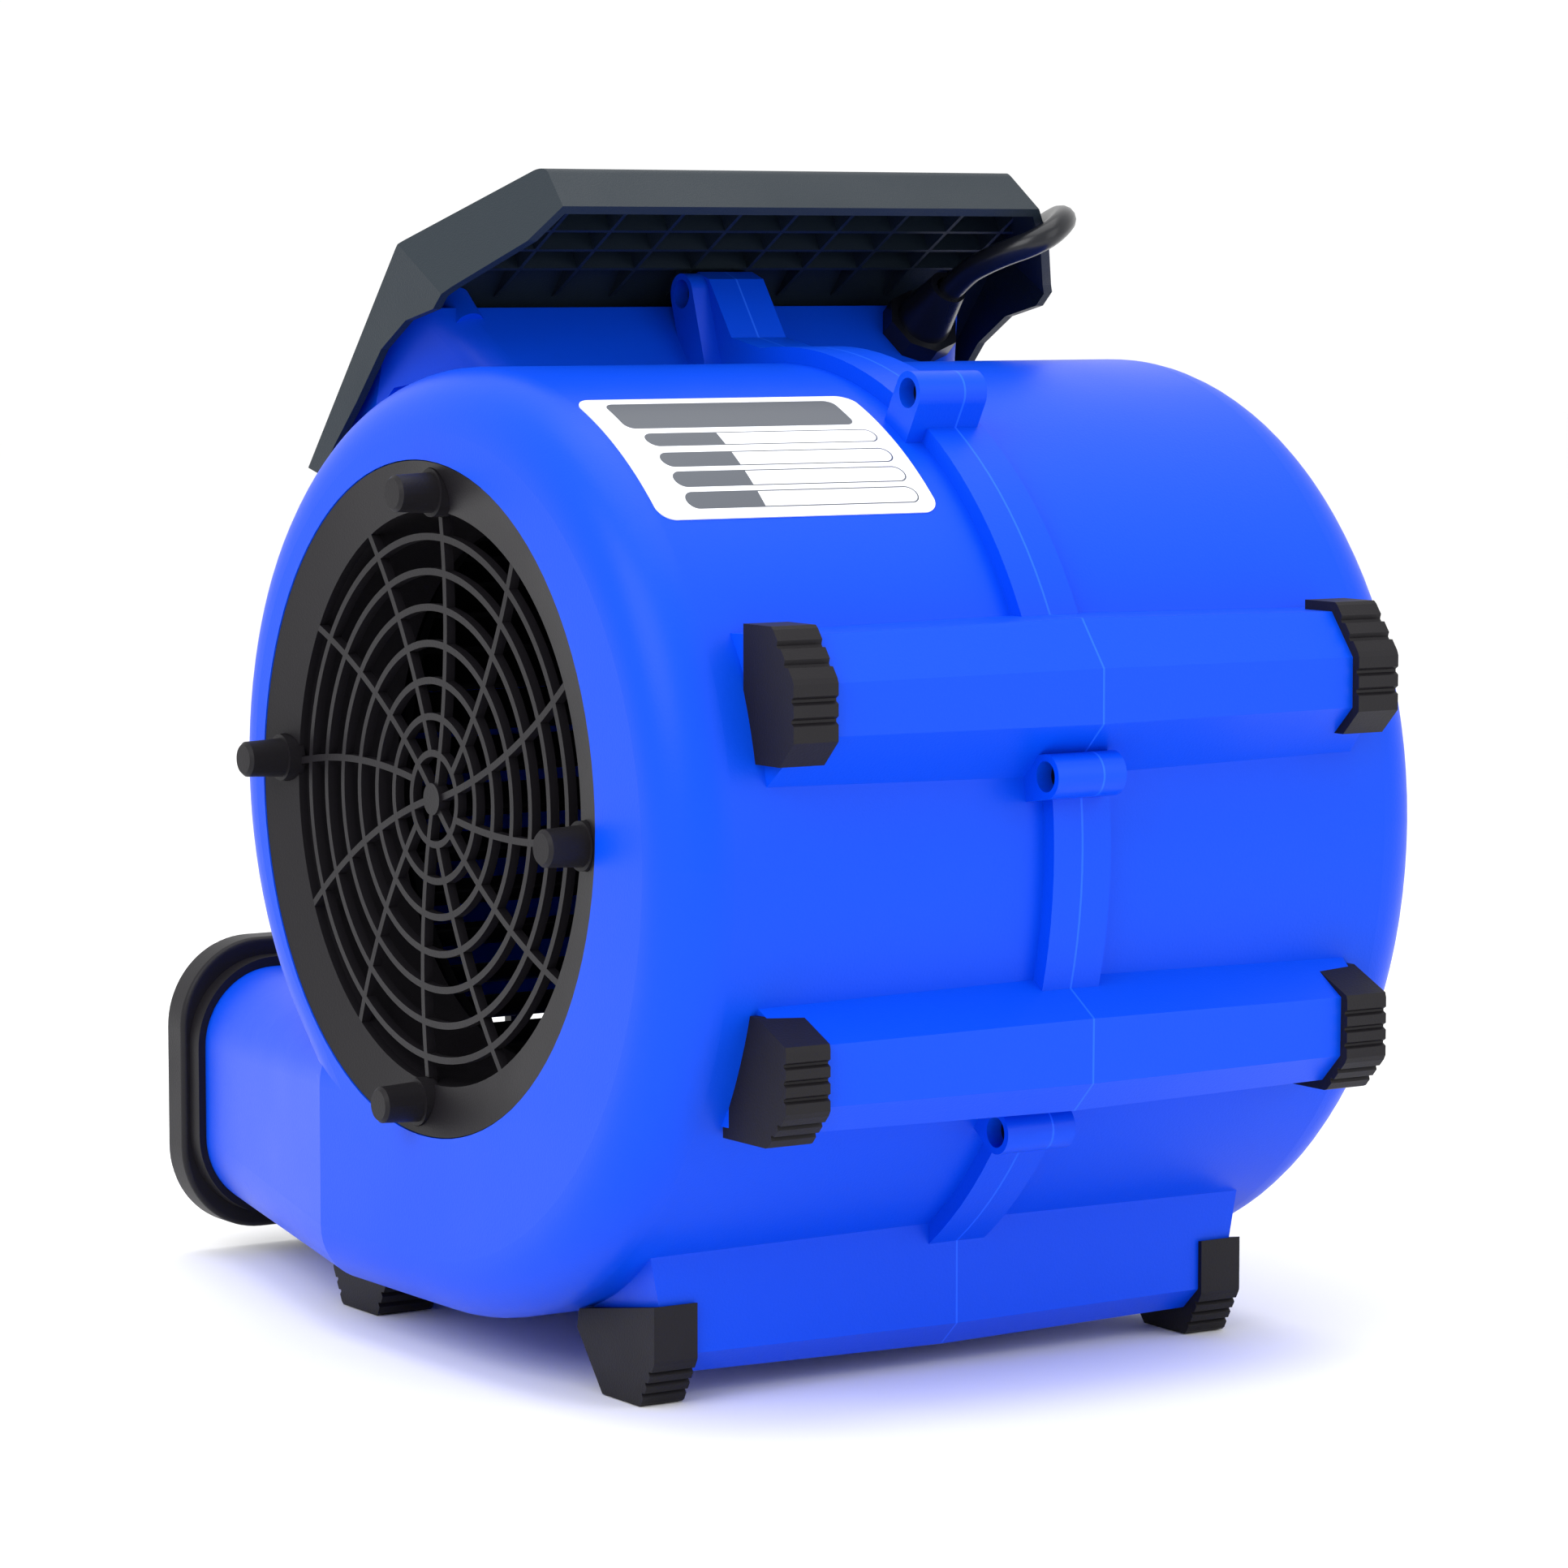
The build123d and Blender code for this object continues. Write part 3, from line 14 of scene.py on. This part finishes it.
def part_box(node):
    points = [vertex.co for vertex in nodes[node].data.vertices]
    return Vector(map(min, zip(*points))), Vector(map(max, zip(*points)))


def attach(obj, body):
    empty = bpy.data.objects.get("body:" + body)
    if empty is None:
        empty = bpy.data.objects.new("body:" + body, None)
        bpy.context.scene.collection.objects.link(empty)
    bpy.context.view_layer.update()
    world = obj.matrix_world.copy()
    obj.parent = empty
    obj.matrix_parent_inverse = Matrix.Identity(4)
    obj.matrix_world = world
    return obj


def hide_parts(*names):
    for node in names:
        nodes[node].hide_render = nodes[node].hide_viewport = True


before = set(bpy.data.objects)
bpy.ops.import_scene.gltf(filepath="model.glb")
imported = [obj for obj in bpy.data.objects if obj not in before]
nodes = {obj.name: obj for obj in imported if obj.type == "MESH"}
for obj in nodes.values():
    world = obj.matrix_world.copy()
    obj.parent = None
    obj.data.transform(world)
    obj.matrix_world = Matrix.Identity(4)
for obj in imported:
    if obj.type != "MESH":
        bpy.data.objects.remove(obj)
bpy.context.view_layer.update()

# %% [markdown]
# Everything is in metres, with the origin on the floor under the middle of the machine. A few places
# are worked out from the CAD pieces: the fan's axis from the shaft, and the drum's circle from the
# sizes that the housing is drawn to. Later cells only use these names.

# %% Places that the pieces share
shaft_low, shaft_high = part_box("motor_shaft")
axis_y = (shaft_low.y + shaft_high.y) / 2
axis_z = (shaft_low.z + shaft_high.z) / 2
drum_y = axis_y + 0.0070
drum_z = axis_z - 0.0083
drum_radius = 0.1255
print("fan axis at y", round(axis_y, 4), "z", round(axis_z, 4))


# %% [markdown]
# A new primitive is shaped with operators, and an operator acts on whatever is selected, so each
# piece starts from an empty selection. A finished piece keeps its place in its mesh: its object's
# own location, turn and scale are applied, which leaves Object coordinates the same for all pieces.

# %% Two small helpers
def start_clean():
    """Deselect everything, so that the next operator touches only what it makes."""
    bpy.ops.object.select_all(action="DESELECT")


def settle(name):
    """Name the active object, apply its place to its mesh and give it back."""
    piece = bpy.context.object
    piece.name = name
    piece.data.name = name
    bpy.ops.object.transform_apply(location=True, rotation=True, scale=True)
    return piece


# %% [markdown]
# ## Shader groups
# Moulded plastic is never perfectly smooth: the mould is lightly blasted, and the wall draws in a
# little as it cools. One group holds that skin, a fine grain over a slow ripple, and gives a height
# for a Bump node and a value that moves the roughness a little. Most of the plastics here, and the foot
# rubber, use it, each with its own scale, so that their finishes belong together.

# %% Group: moulded skin
def build_moulded_skin():
    """Fine grain over a slow ripple: a height for bump, and a variation for roughness."""
    group = bpy.data.node_groups.new("moulded skin", "ShaderNodeTree")
    for socket, default in (("Grain scale", 900.0), ("Ripple scale", 18.0), ("Ripple share", 0.5)):
        entry = group.interface.new_socket(socket, in_out="INPUT", socket_type="NodeSocketFloat")
        entry.default_value = default
    group.interface.new_socket("Height", in_out="OUTPUT", socket_type="NodeSocketFloat")
    group.interface.new_socket("Variation", in_out="OUTPUT", socket_type="NodeSocketFloat")
    inputs = group.nodes.new("NodeGroupInput")
    outputs = group.nodes.new("NodeGroupOutput")
    place = group.nodes.new("ShaderNodeTexCoord")
    grain = group.nodes.new("ShaderNodeTexNoise")
    ripple = group.nodes.new("ShaderNodeTexNoise")
    blend = group.nodes.new("ShaderNodeMix")
    for noise, socket in ((grain, "Grain scale"), (ripple, "Ripple scale")):
        group.links.new(place.outputs["Object"], noise.inputs["Vector"])
        group.links.new(inputs.outputs[socket], noise.inputs["Scale"])
        noise.inputs["Detail"].default_value = 2.0
    group.links.new(inputs.outputs["Ripple share"], blend.inputs["Factor"])
    group.links.new(grain.outputs["Fac"], blend.inputs[2])
    group.links.new(ripple.outputs["Fac"], blend.inputs[3])
    group.links.new(blend.outputs[0], outputs.inputs["Height"])
    group.links.new(ripple.outputs["Fac"], outputs.inputs["Variation"])
    return group


moulded_skin = build_moulded_skin()
print("group", moulded_skin.name, "has", len(moulded_skin.nodes), "nodes")


# %% [markdown]
# A material is a Principled BSDF with its plain numbers set on its own sockets. The helper below
# makes that shader, and when a skin is asked for it adds the group, a Bump node for the height, and
# a Map Range that turns the variation into a narrow band of roughness.

# %% Helper: a plain material, with or without the moulded skin
def plain_material(name, colour, roughness, metallic=0.0, **sockets):
    """A Principled material. A further socket is named with underscores for its spaces."""
    material = bpy.data.materials.new(name)
    material.use_nodes = True
    shader = material.node_tree.nodes["Principled BSDF"]
    shader.inputs["Base Color"].default_value = (*colour, 1.0)
    shader.inputs["Roughness"].default_value = roughness
    shader.inputs["Metallic"].default_value = metallic
    for socket, value in sockets.items():
        shader.inputs[socket.replace("_", " ")].default_value = value
    return material


def add_skin(material, grain, ripple, share, depth, spread):
    """Put the moulded skin on a material: bump of a depth in metres, and roughness of some spread."""
    tree = material.node_tree
    shader = tree.nodes["Principled BSDF"]
    skin = tree.nodes.new("ShaderNodeGroup")
    skin.node_tree = moulded_skin
    skin.inputs["Grain scale"].default_value = grain
    skin.inputs["Ripple scale"].default_value = ripple
    skin.inputs["Ripple share"].default_value = share
    bump = tree.nodes.new("ShaderNodeBump")
    bump.inputs["Strength"].default_value = 1.0
    bump.inputs["Distance"].default_value = depth
    band = tree.nodes.new("ShaderNodeMapRange")
    middle = shader.inputs["Roughness"].default_value
    band.inputs["From Min"].default_value = 0.3
    band.inputs["From Max"].default_value = 0.7
    band.inputs["To Min"].default_value = middle - spread
    band.inputs["To Max"].default_value = middle + spread
    tree.links.new(skin.outputs["Height"], bump.inputs["Height"])
    tree.links.new(bump.outputs["Normal"], shader.inputs["Normal"])
    tree.links.new(skin.outputs["Variation"], band.inputs["Value"])
    tree.links.new(band.outputs["Result"], shader.inputs["Roughness"])


# %% [markdown]
# ## The blue shell
# The housing is a bright, saturated blue that looks satin: the highlights are wide and soft, and the
# colour stays strong in shade. The two halves meet on the machine's centre plane, and a fine pale
# line is painted there: a painted highlight for the light that the seam's small ridge catches. It is
# drawn by how near a point is to that plane.
#
# The light in this scene is strong and even, so the base colours are set darker than they look, and
# most plastics' specular level is below the usual half, which keeps its shade deep.

# %% Material: shell blue
# Painted highlight: where |X| is under the half width, the base colour turns a lighter blue along the
# seam.
seam_highlight_half_width = 0.0003
shell_colour = (0.0002, 0.062, 0.70)
seam_highlight_colour = (0.012, 0.115, 0.88)
shell_blue = plain_material("shell blue", shell_colour, 0.38, Specular_IOR_Level=0.15)
add_skin(shell_blue, 1400.0, 16.0, 0.35, 0.00006, 0.03)
shell = shell_blue.node_tree
shell_place = shell.nodes.new("ShaderNodeTexCoord")
shell_axes = shell.nodes.new("ShaderNodeSeparateXYZ")
from_centre = shell.nodes.new("ShaderNodeMath")
from_centre.operation = "ABSOLUTE"
on_seam_highlight = shell.nodes.new("ShaderNodeMath")
on_seam_highlight.operation = "LESS_THAN"
on_seam_highlight.inputs[1].default_value = seam_highlight_half_width
shell_mix = shell.nodes.new("ShaderNodeMix")
shell_mix.data_type = "RGBA"
shell_mix.inputs["A"].default_value = (*shell_colour, 1.0)
shell_mix.inputs["B"].default_value = (*seam_highlight_colour, 1.0)
shell.links.new(shell_place.outputs["Object"], shell_axes.inputs[0])
shell.links.new(shell_axes.outputs["X"], from_centre.inputs[0])
shell.links.new(from_centre.outputs[0], on_seam_highlight.inputs[0])
shell.links.new(on_seam_highlight.outputs[0], shell_mix.inputs["Factor"])
shell.links.new(shell_mix.outputs["Result"], shell.nodes["Principled BSDF"].inputs["Base Color"])
print("shell blue is ready")

# %% [markdown]
# ## Hood, grille and feet
# The hood is a charcoal plastic with a matt, slightly grainy face. The grille and the outlet frame
# are darker still, close to black. The feet are moulded rubber, dull and almost black.

# %% Materials: dark plastics and rubber
charcoal_plastic = plain_material("charcoal plastic", (0.010, 0.018, 0.026), 0.50,
                                  Specular_IOR_Level=0.30)
add_skin(charcoal_plastic, 2200.0, 30.0, 0.2, 0.00012, 0.04)
guard_plastic = plain_material("guard plastic", (0.008, 0.007, 0.009), 0.46, Specular_IOR_Level=0.22)
add_skin(guard_plastic, 1600.0, 24.0, 0.3, 0.00008, 0.04)
foot_rubber = plain_material("foot rubber", (0.007, 0.006, 0.008), 0.55, Specular_IOR_Level=0.22)
add_skin(foot_rubber, 1500.0, 40.0, 0.3, 0.0001, 0.05)
wheel_plastic = plain_material("wheel plastic", (0.003, 0.003, 0.004), 0.6, Specular_IOR_Level=0.08)
knob_plastic = plain_material("knob plastic", (0.008, 0.008, 0.010), 0.35, Specular_IOR_Level=0.35)
add_skin(knob_plastic, 1800.0, 30.0, 0.2, 0.00005, 0.03)
switch_case = plain_material("switch case", (0.012, 0.012, 0.012), 0.5)
print("dark plastics are ready")

# %% [markdown]
# ## Metals and small things
# Screws, shaft and motor are seen through the grilles or not at all. Plain metals are enough for
# them: a colour, a roughness and full Metallic. The motor's case, mount and end shields are set
# near black instead, as painted shade for the dark inside of the drum, and its screws take black oxide
# for the same reason.

# %% Materials: metals
zinc = plain_material("zinc plate", (0.62, 0.63, 0.65), 0.32, 1.0)
black_oxide = plain_material("black oxide", (0.03, 0.03, 0.035), 0.38, 1.0)
ground_steel = plain_material("ground steel", (0.6, 0.6, 0.62), 0.25, 1.0)
cast_alloy = plain_material("cast alloy", (0.72, 0.72, 0.73), 0.45, 1.0)
# Painted shade: near black, so that the motor's parts read as the dark inside of the drum.
motor_painted_shade = plain_material("motor painted shade", (0.010, 0.010, 0.012), 0.5, Specular_IOR_Level=0.15)
lamination = plain_material("laminated steel", (0.3, 0.3, 0.32), 0.5, 1.0)
copper = plain_material("enamelled copper", (0.75, 0.32, 0.14), 0.3, 1.0)
brass = plain_material("pin brass", (0.80, 0.62, 0.30), 0.25, 1.0)
capacitor_case = plain_material("capacitor case", (0.80, 0.80, 0.77), 0.35)
block_plastic = plain_material("terminal block", (0.78, 0.76, 0.68), 0.4)
dial_film = plain_material("dial film", (0.03, 0.032, 0.036), 0.4)
dial_ink = plain_material("dial ink", (0.80, 0.80, 0.78), 0.45)
print("metals are ready")

# %% [markdown]
# ## The lead
# The lead has a glossy black sheath, its strain relief the same rubber in a harder grade. A clear
# highlight along its length is what tells a viewer that it is round.

# %% Material: cord rubber
cord_rubber = plain_material("cord rubber", (0.006, 0.007, 0.010), 0.28, Specular_IOR_Level=0.35)
gland_plastic = plain_material("gland plastic", (0.006, 0.007, 0.011), 0.30, Specular_IOR_Level=0.35)
add_skin(gland_plastic, 900.0, 40.0, 0.3, 0.00005, 0.04)
print("lead materials are ready")


# %% [markdown]
# ## The rating plate
# The plate is a white film with a dark header panel and four rows, each a rounded outline whose left
# end is filled with grey. The printing is left out. A panel is a rounded box, and a rounded box is
# easy to measure in a shader: fold the distance from its centre into one corner, take away the
# straight part, and compare what is left with the corner's radius. The group below does that.

# %% Group: rounded panel
def build_rounded_panel():
    """Signed distance from a rounded box: below zero inside, in metres."""
    group = bpy.data.node_groups.new("rounded panel", "ShaderNodeTree")
    for socket in ("U", "V", "Centre U", "Centre V", "Half width", "Half height", "Radius"):
        group.interface.new_socket(socket, in_out="INPUT", socket_type="NodeSocketFloat")
    group.interface.new_socket("Distance", in_out="OUTPUT", socket_type="NodeSocketFloat")
    inputs = group.nodes.new("NodeGroupInput").outputs
    outputs = group.nodes.new("NodeGroupOutput").inputs

    def math_node(operation, first, second=None):
        node = group.nodes.new("ShaderNodeMath")
        node.operation = operation
        for socket, source in zip(node.inputs, (first, second)):
            if isinstance(source, float):
                socket.default_value = source
            elif source is not None:
                group.links.new(source, socket)
        return node.outputs[0]

    def past_the_straight(place, centre, half):
        offset = math_node("ABSOLUTE", math_node("SUBTRACT", inputs[place], inputs[centre]))
        straight = math_node("SUBTRACT", inputs[half], inputs["Radius"])
        return math_node("SUBTRACT", offset, straight)

    across = past_the_straight("U", "Centre U", "Half width")
    upwards = past_the_straight("V", "Centre V", "Half height")
    outside_u = math_node("POWER", math_node("MAXIMUM", across, 0.0), 2.0)
    outside_v = math_node("POWER", math_node("MAXIMUM", upwards, 0.0), 2.0)
    corner = math_node("SQRT", math_node("ADD", outside_u, outside_v))
    inside = math_node("MINIMUM", math_node("MAXIMUM", across, upwards), 0.0)
    total = math_node("ADD", corner, inside)
    group.links.new(math_node("SUBTRACT", total, inputs["Radius"]), outputs["Distance"])
    return group


rounded_panel = build_rounded_panel()
print("group", rounded_panel.name, "has", len(rounded_panel.nodes), "nodes")

# %% [markdown]
# The plate follows the drum, so its two directions are X along the machine and the arc length round
# the drum's centre. The arc length is an arctangent of the Object coordinates times the radius. The
# panels are then listed in millimetres on the flat film, and each adds one mask.

# %% Material: rating plate film
plate_low, plate_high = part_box("rating_plate")
plate_middle_x = (plate_low.x + plate_high.x) / 2
plate_from_degrees, plate_to_degrees = 44.2, 68.9
plate_middle_angle = math.radians((plate_from_degrees + plate_to_degrees) / 2)
film_white = (0.86, 0.88, 0.95)
print_grey = (0.075, 0.085, 0.105)
plate_film = plain_material("plate film", film_white, 0.28)
film = plate_film.node_tree


def film_math(operation, first, second):
    """One Math node of the film, fed by numbers or by other nodes' outputs."""
    node = film.nodes.new("ShaderNodeMath")
    node.operation = operation
    for socket, source in zip(node.inputs, (first, second)):
        if isinstance(source, (int, float)):
            socket.default_value = source
        else:
            film.links.new(source, socket)
    return node.outputs[0]


film_place = film.nodes.new("ShaderNodeTexCoord")
film_axes = film.nodes.new("ShaderNodeSeparateXYZ")
film.links.new(film_place.outputs["Object"], film_axes.inputs[0])
film_angle = film_math("ARCTAN2", film_math("SUBTRACT", film_axes.outputs["Z"], drum_z),
                       film_math("SUBTRACT", film_axes.outputs["Y"], drum_y))
film_u = film_math("SUBTRACT", plate_middle_x, film_axes.outputs["X"])
film_v = film_math("MULTIPLY", film_math("SUBTRACT", film_angle, plate_middle_angle), drum_radius)


def panel_distance(u, v, half_width, half_height, radius):
    """Distance from one rounded panel of the film, its sizes in millimetres."""
    panel = film.nodes.new("ShaderNodeGroup")
    panel.node_tree = rounded_panel
    film.links.new(film_u, panel.inputs["U"])
    film.links.new(film_v, panel.inputs["V"])
    sizes = (("Centre U", u), ("Centre V", v), ("Half width", half_width),
             ("Half height", half_height), ("Radius", radius))
    for socket, value in sizes:
        panel.inputs[socket].default_value = value / 1000
    return panel.outputs["Distance"]


# %% [markdown]
# A filled panel is where the distance is below zero. An outline is where its absolute value is below
# half the line's width. The masks are added up and clamped, and one Mix node turns white to grey.

# %% Panels of the film
row_v = (4.5, -4.5, -12.5, -20.5)
outline_half_width = 0.00022
fill_ends_at = -0.010
filled = film_math("LESS_THAN", panel_distance(0, 17.0, 36, 7.0, 3.0), 0.0)
for v in row_v:
    body = panel_distance(3.0, v, 36.0, 2.9, 2.9)
    outline = film_math("LESS_THAN", film_math("ABSOLUTE", body, 0.0), outline_half_width)
    in_row = film_math("LESS_THAN", body, 0.0)
    left_end = film_math("MULTIPLY", in_row, film_math("LESS_THAN", film_u, fill_ends_at))
    filled = film_math("MAXIMUM", filled, film_math("MAXIMUM", outline, left_end))
film_mix = film.nodes.new("ShaderNodeMix")
film_mix.data_type = "RGBA"
film.links.new(filled, film_mix.inputs["Factor"])
film_mix.inputs["A"].default_value = (*film_white, 1.0)
film_mix.inputs["B"].default_value = (*print_grey, 1.0)
film.links.new(film_mix.outputs["Result"], film.nodes["Principled BSDF"].inputs["Base Color"])
print("the film has", len(row_v), "rows under its header")

# %% [markdown]
# ## Give every CAD piece its finish
# The table names each CAD node once, beside its material. A node that isn't named stops the script,
# so a new part can't slip through unfinished.

# %% Assign the materials
finishes = {
    "housing_right": shell_blue, "housing_left": shell_blue, "seam_screws": black_oxide,
    "inlet_grille_right": guard_plastic, "inlet_grille_left": guard_plastic,
    "side_feet_right": foot_rubber, "side_feet_left": foot_rubber,
    "grille_screws_right": zinc, "grille_screws_left": zinc,
    "outlet_frame": guard_plastic, "outlet_frame_screws": black_oxide,
    "control_hood": charcoal_plastic, "hood_screws": black_oxide, "dial_plate": dial_film,
    "rotary_switch": switch_case, "switch_nut": zinc, "switch_spindle": ground_steel,
    "speed_knob": knob_plastic, "capacitor": capacitor_case, "capacitor_clip": zinc,
    "terminal_block": block_plastic, "rating_plate": plate_film,
    "upper_rail_feet": foot_rubber, "lower_rail_feet": foot_rubber, "base_rail_feet": foot_rubber,
    # The motor's case, mount and end shields take the near-black motor material, and its screws black
    # oxide: painted shade for the dark inside of the drum.
    "front_feet": foot_rubber, "motor_mount": motor_painted_shade, "motor_mount_screws": black_oxide,
    "motor_screws": black_oxide, "motor_case": motor_painted_shade, "motor_end_shield_rear": motor_painted_shade,
    "motor_end_shield_front": motor_painted_shade, "motor_bearing_rear": ground_steel,
    "motor_bearing_front": ground_steel, "stator_core": lamination, "stator_windings": copper,
    "rotor_core": cast_alloy, "motor_shaft": ground_steel, "impeller": wheel_plastic,
    "impeller_hub": black_oxide, "hub_set_screw": black_oxide, "gland_nut": gland_plastic,
    "strain_relief": gland_plastic, "power_cord": cord_rubber, "cord_coil": cord_rubber,
    "power_plug": gland_plastic, "plug_pins": brass,
}
for name, node in nodes.items():
    for material_slot in node.material_slots:
        material_slot.material = finishes[name]
print(len(finishes), "nodes have their finish")

# %% [markdown]
# ## The speed dial
# The switch has an off position and three speeds, 45 degrees apart. Their numbers stand on the dial
# plate in white ink, square to the panel, and a white line on the knob points at the one in use. The
# line rides on the knob's body, so it turns with it. Heights are measured on the CAD pieces.

# %% Panel directions and heights
panel_normal = Vector((0, -0.7637942, 0.6454599))
panel_across = Vector((1, 0, 0))
panel_up = panel_normal.cross(panel_across)
panel_turn = Matrix((panel_across, panel_up, panel_normal)).transposed().to_euler()
pivot = Vector((0, -0.04407, 0.27957))


def top_above_panel(name):
    """Height of a CAD node's highest point along the panel's normal, from the knob's pivot."""
    node = nodes[name]
    return max((node.matrix_world @ v.co - pivot).dot(panel_normal) for v in node.data.vertices)


plate_top = top_above_panel("dial_plate")
knob_top = top_above_panel("speed_knob")
print("plate top", round(plate_top * 1000, 2), "mm, knob top", round(knob_top * 1000, 2), "mm")

# %% Numbers on the dial plate
number_radius = 0.0234
ink_clearance = 0.00008
for position in range(4):
    angle = math.radians(45 * position)
    sideways = panel_across * math.cos(angle) + panel_up * math.sin(angle)
    start_clean()
    above_plate = panel_normal * (plate_top + ink_clearance)
    bpy.ops.object.text_add(location=pivot + sideways * number_radius + above_plate, rotation=panel_turn)
    text = bpy.context.object.data
    text.body = str(position)
    text.size = 0.0062
    text.extrude = 0.00004
    text.align_x = "CENTER"
    text.align_y = "CENTER"
    bpy.ops.object.convert(target="MESH")
    number = settle("dial_number_" + str(position))
    number.data.materials.append(dial_ink)
    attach(number, "machine")
print("numbers 0 to 3 stand", number_radius * 1000, "mm from the spindle")

# %% Pointer on the knob
start_clean()
pointer_place = pivot + panel_across * 0.0084 + panel_normal * (knob_top + 0.00005)
bpy.ops.mesh.primitive_cube_add(size=1.0, location=pointer_place, rotation=panel_turn,
                                scale=(0.0084, 0.0015, 0.0002))
knob_pointer = settle("knob_pointer")
knob_pointer.data.materials.append(dial_ink)
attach(knob_pointer, "knob")
print("pointer is", round(max(knob_pointer.dimensions) * 1000, 1), "mm long")

# %% [markdown]
# ## The mains lead
# The lead is a flexible thing, so it is a NURBS curve with a round bevel. It leaves the strain relief,
# goes round the hood's rear corner and hangs down beside the outlet. What is left of its length lies
# on the floor, in front on the left, as a flat coil of two layers. The route's free part is a short
# list of given points, and the coil's turns are worked out by a loop.

# %% The lead's route
cord_radius = 0.00375
free_route = [
    (-67.6, -50.8, 117.0), (-67.6, -21.5, 140.2), (-69.5, -3.0, 147.0), (-77.5, 9.0, 151.5),
    (-89.5, 4.0, 157.5), (-98.5, -12.0, 158.5), (-107.5, -34.0, 155.0), (-114.0, -66.0, 146.0),
    (-114.0, -105.0, 108.0), (-113.0, -131.0, 60.0), (-115.0, -144.0, 4.0), (-118.0, -149.0, -52.0),
    (-120.5, -152.0, -102.0), (-121.5, -158.0, -132.0), (-124.5, -173.0, -146.5),
]
cord_points = [Vector((x / 1000, axis_y + y / 1000, axis_z + z / 1000)) for x, y, z in free_route]

# %% [markdown]
# Each turn of the coil has twelve control points. A NURBS curve of order three runs a little inside
# its control points, so they stand out by that share and the curve comes to lie on the right circle.

# %% The coil's turns
coil_centre = Vector((-0.174, axis_y - 0.154, 0))
coil_outer, coil_inner = 0.0545, 0.02075
points_per_turn = 12
first_angle = math.radians(-35)
whole_turns = 8
sweep = math.radians(350 + whole_turns * 360)
steps = round(sweep / (2 * math.pi) * points_per_turn)
stand_out = 1 / 0.966
for step in range(steps + 1):
    share = step / steps
    inward = 1 - abs(2 * share - 1)
    radius = (coil_outer + (coil_inner - coil_outer) * inward) * stand_out
    angle = first_angle - sweep * share
    height = 3 * cord_radius if share < 0.5 else cord_radius
    on_turn = Vector((radius * math.cos(angle), radius * math.sin(angle), height))
    cord_points.append(coil_centre + on_turn)
plug_angle = math.radians(-25)
plug_heading = Vector((math.sin(plug_angle), -math.cos(plug_angle), 0))
last_turn = coil_centre + Vector((math.cos(plug_angle), math.sin(plug_angle), 0)) * coil_outer
for distance, height in ((0.018, 0.0048), (0.034, 0.0074)):
    cord_points.append(last_turn + plug_heading * distance + Vector((0, 0, height)))
print("the lead has", len(cord_points), "control points")

# %% Draw the lead
curve = bpy.data.curves.new("mains_lead", "CURVE")
curve.dimensions = "3D"
curve.bevel_depth = cord_radius
curve.bevel_resolution = 5
curve.resolution_u = 8
curve.use_fill_caps = True
spline = curve.splines.new("NURBS")
spline.points.add(len(cord_points) - 1)
for control, place in zip(spline.points, cord_points):
    control.co = (*place, 1.0)
spline.order_u = 3
spline.use_endpoint_u = True
mains_lead = bpy.data.objects.new("mains_lead", curve)
bpy.context.scene.collection.objects.link(mains_lead)
curve.materials.append(cord_rubber)
lead_length = spline.calc_length()
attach(mains_lead, "machine")
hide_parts("power_cord", "cord_coil")
print("the lead is", round(lead_length, 3), "m long")

# %% [markdown]
# ## Floor, light and camera
# A pale floor runs on far behind the machine. The light is that of a white studio: one large soft box
# high on the camera's left, a weaker one on the right, a broad one overhead, and a bright, even world
# that fills the shade. The camera is a long way off with a long lens, so the drum's far side is
# hardly smaller than its near side. The Standard view transform shows the colours as they are set,
# so white paper is white and the blue stays saturated.

# %% Floor
start_clean()
bpy.ops.mesh.primitive_plane_add(size=14.0, location=(0, 0, -0.0003))
floor = settle("floor")
floor_paint = plain_material("floor paint", (0.98, 0.98, 0.98), 0.8, Specular_IOR_Level=0.1)
floor.data.materials.append(floor_paint)
print("floor is", floor.dimensions.x, "m wide")


# %% Lights
def soft_box(name, place, aim, size, power):
    """Stand a rectangular lamp at a place, turned to face its aim."""
    lamp = bpy.data.lights.new(name, "AREA")
    lamp.shape = "RECTANGLE"
    lamp.size, lamp.size_y = size
    lamp.energy = power
    stand = bpy.data.objects.new(name, lamp)
    bpy.context.scene.collection.objects.link(stand)
    stand.location = place
    stand.rotation_euler = (Vector(aim) - Vector(place)).to_track_quat("-Z", "Y").to_euler()


middle = Vector((0, 0.02, 0.16))
soft_box("key box", (1.6, 0.6, 1.3), middle, (1.2, 1.2), 17)
soft_box("fill box", (-0.9, 1.7, 0.9), middle, (1.2, 1.4), 7)
soft_box("top box", (0.0, 0.1, 1.9), middle, (1.6, 1.6), 15)
world = bpy.data.worlds.new("studio")
bpy.context.scene.world = world
world.use_nodes = True
world.node_tree.nodes["Background"].inputs["Color"].default_value = (1, 1, 1, 1)
world.node_tree.nodes["Background"].inputs["Strength"].default_value = 1.03
bpy.context.scene.view_settings.view_transform = "Standard"
print("three soft boxes and a white world")

# %% Camera
camera_data = bpy.data.cameras.new("camera")
camera_data.sensor_width = 36
camera_data.lens = 124.5
camera = bpy.data.objects.new("camera", camera_data)
bpy.context.scene.collection.objects.link(camera)
camera.location = (0.8333, 1.3110, 0.3031)
camera_aim = Vector((0, 0.0183, 0.1546))
camera.rotation_euler = (camera_aim - camera.location).to_track_quat("-Z", "Y").to_euler()
camera_data.clip_start = 0.05
bpy.context.scene.camera = camera
print("camera is", round((camera.location - middle).length, 2), "m away")
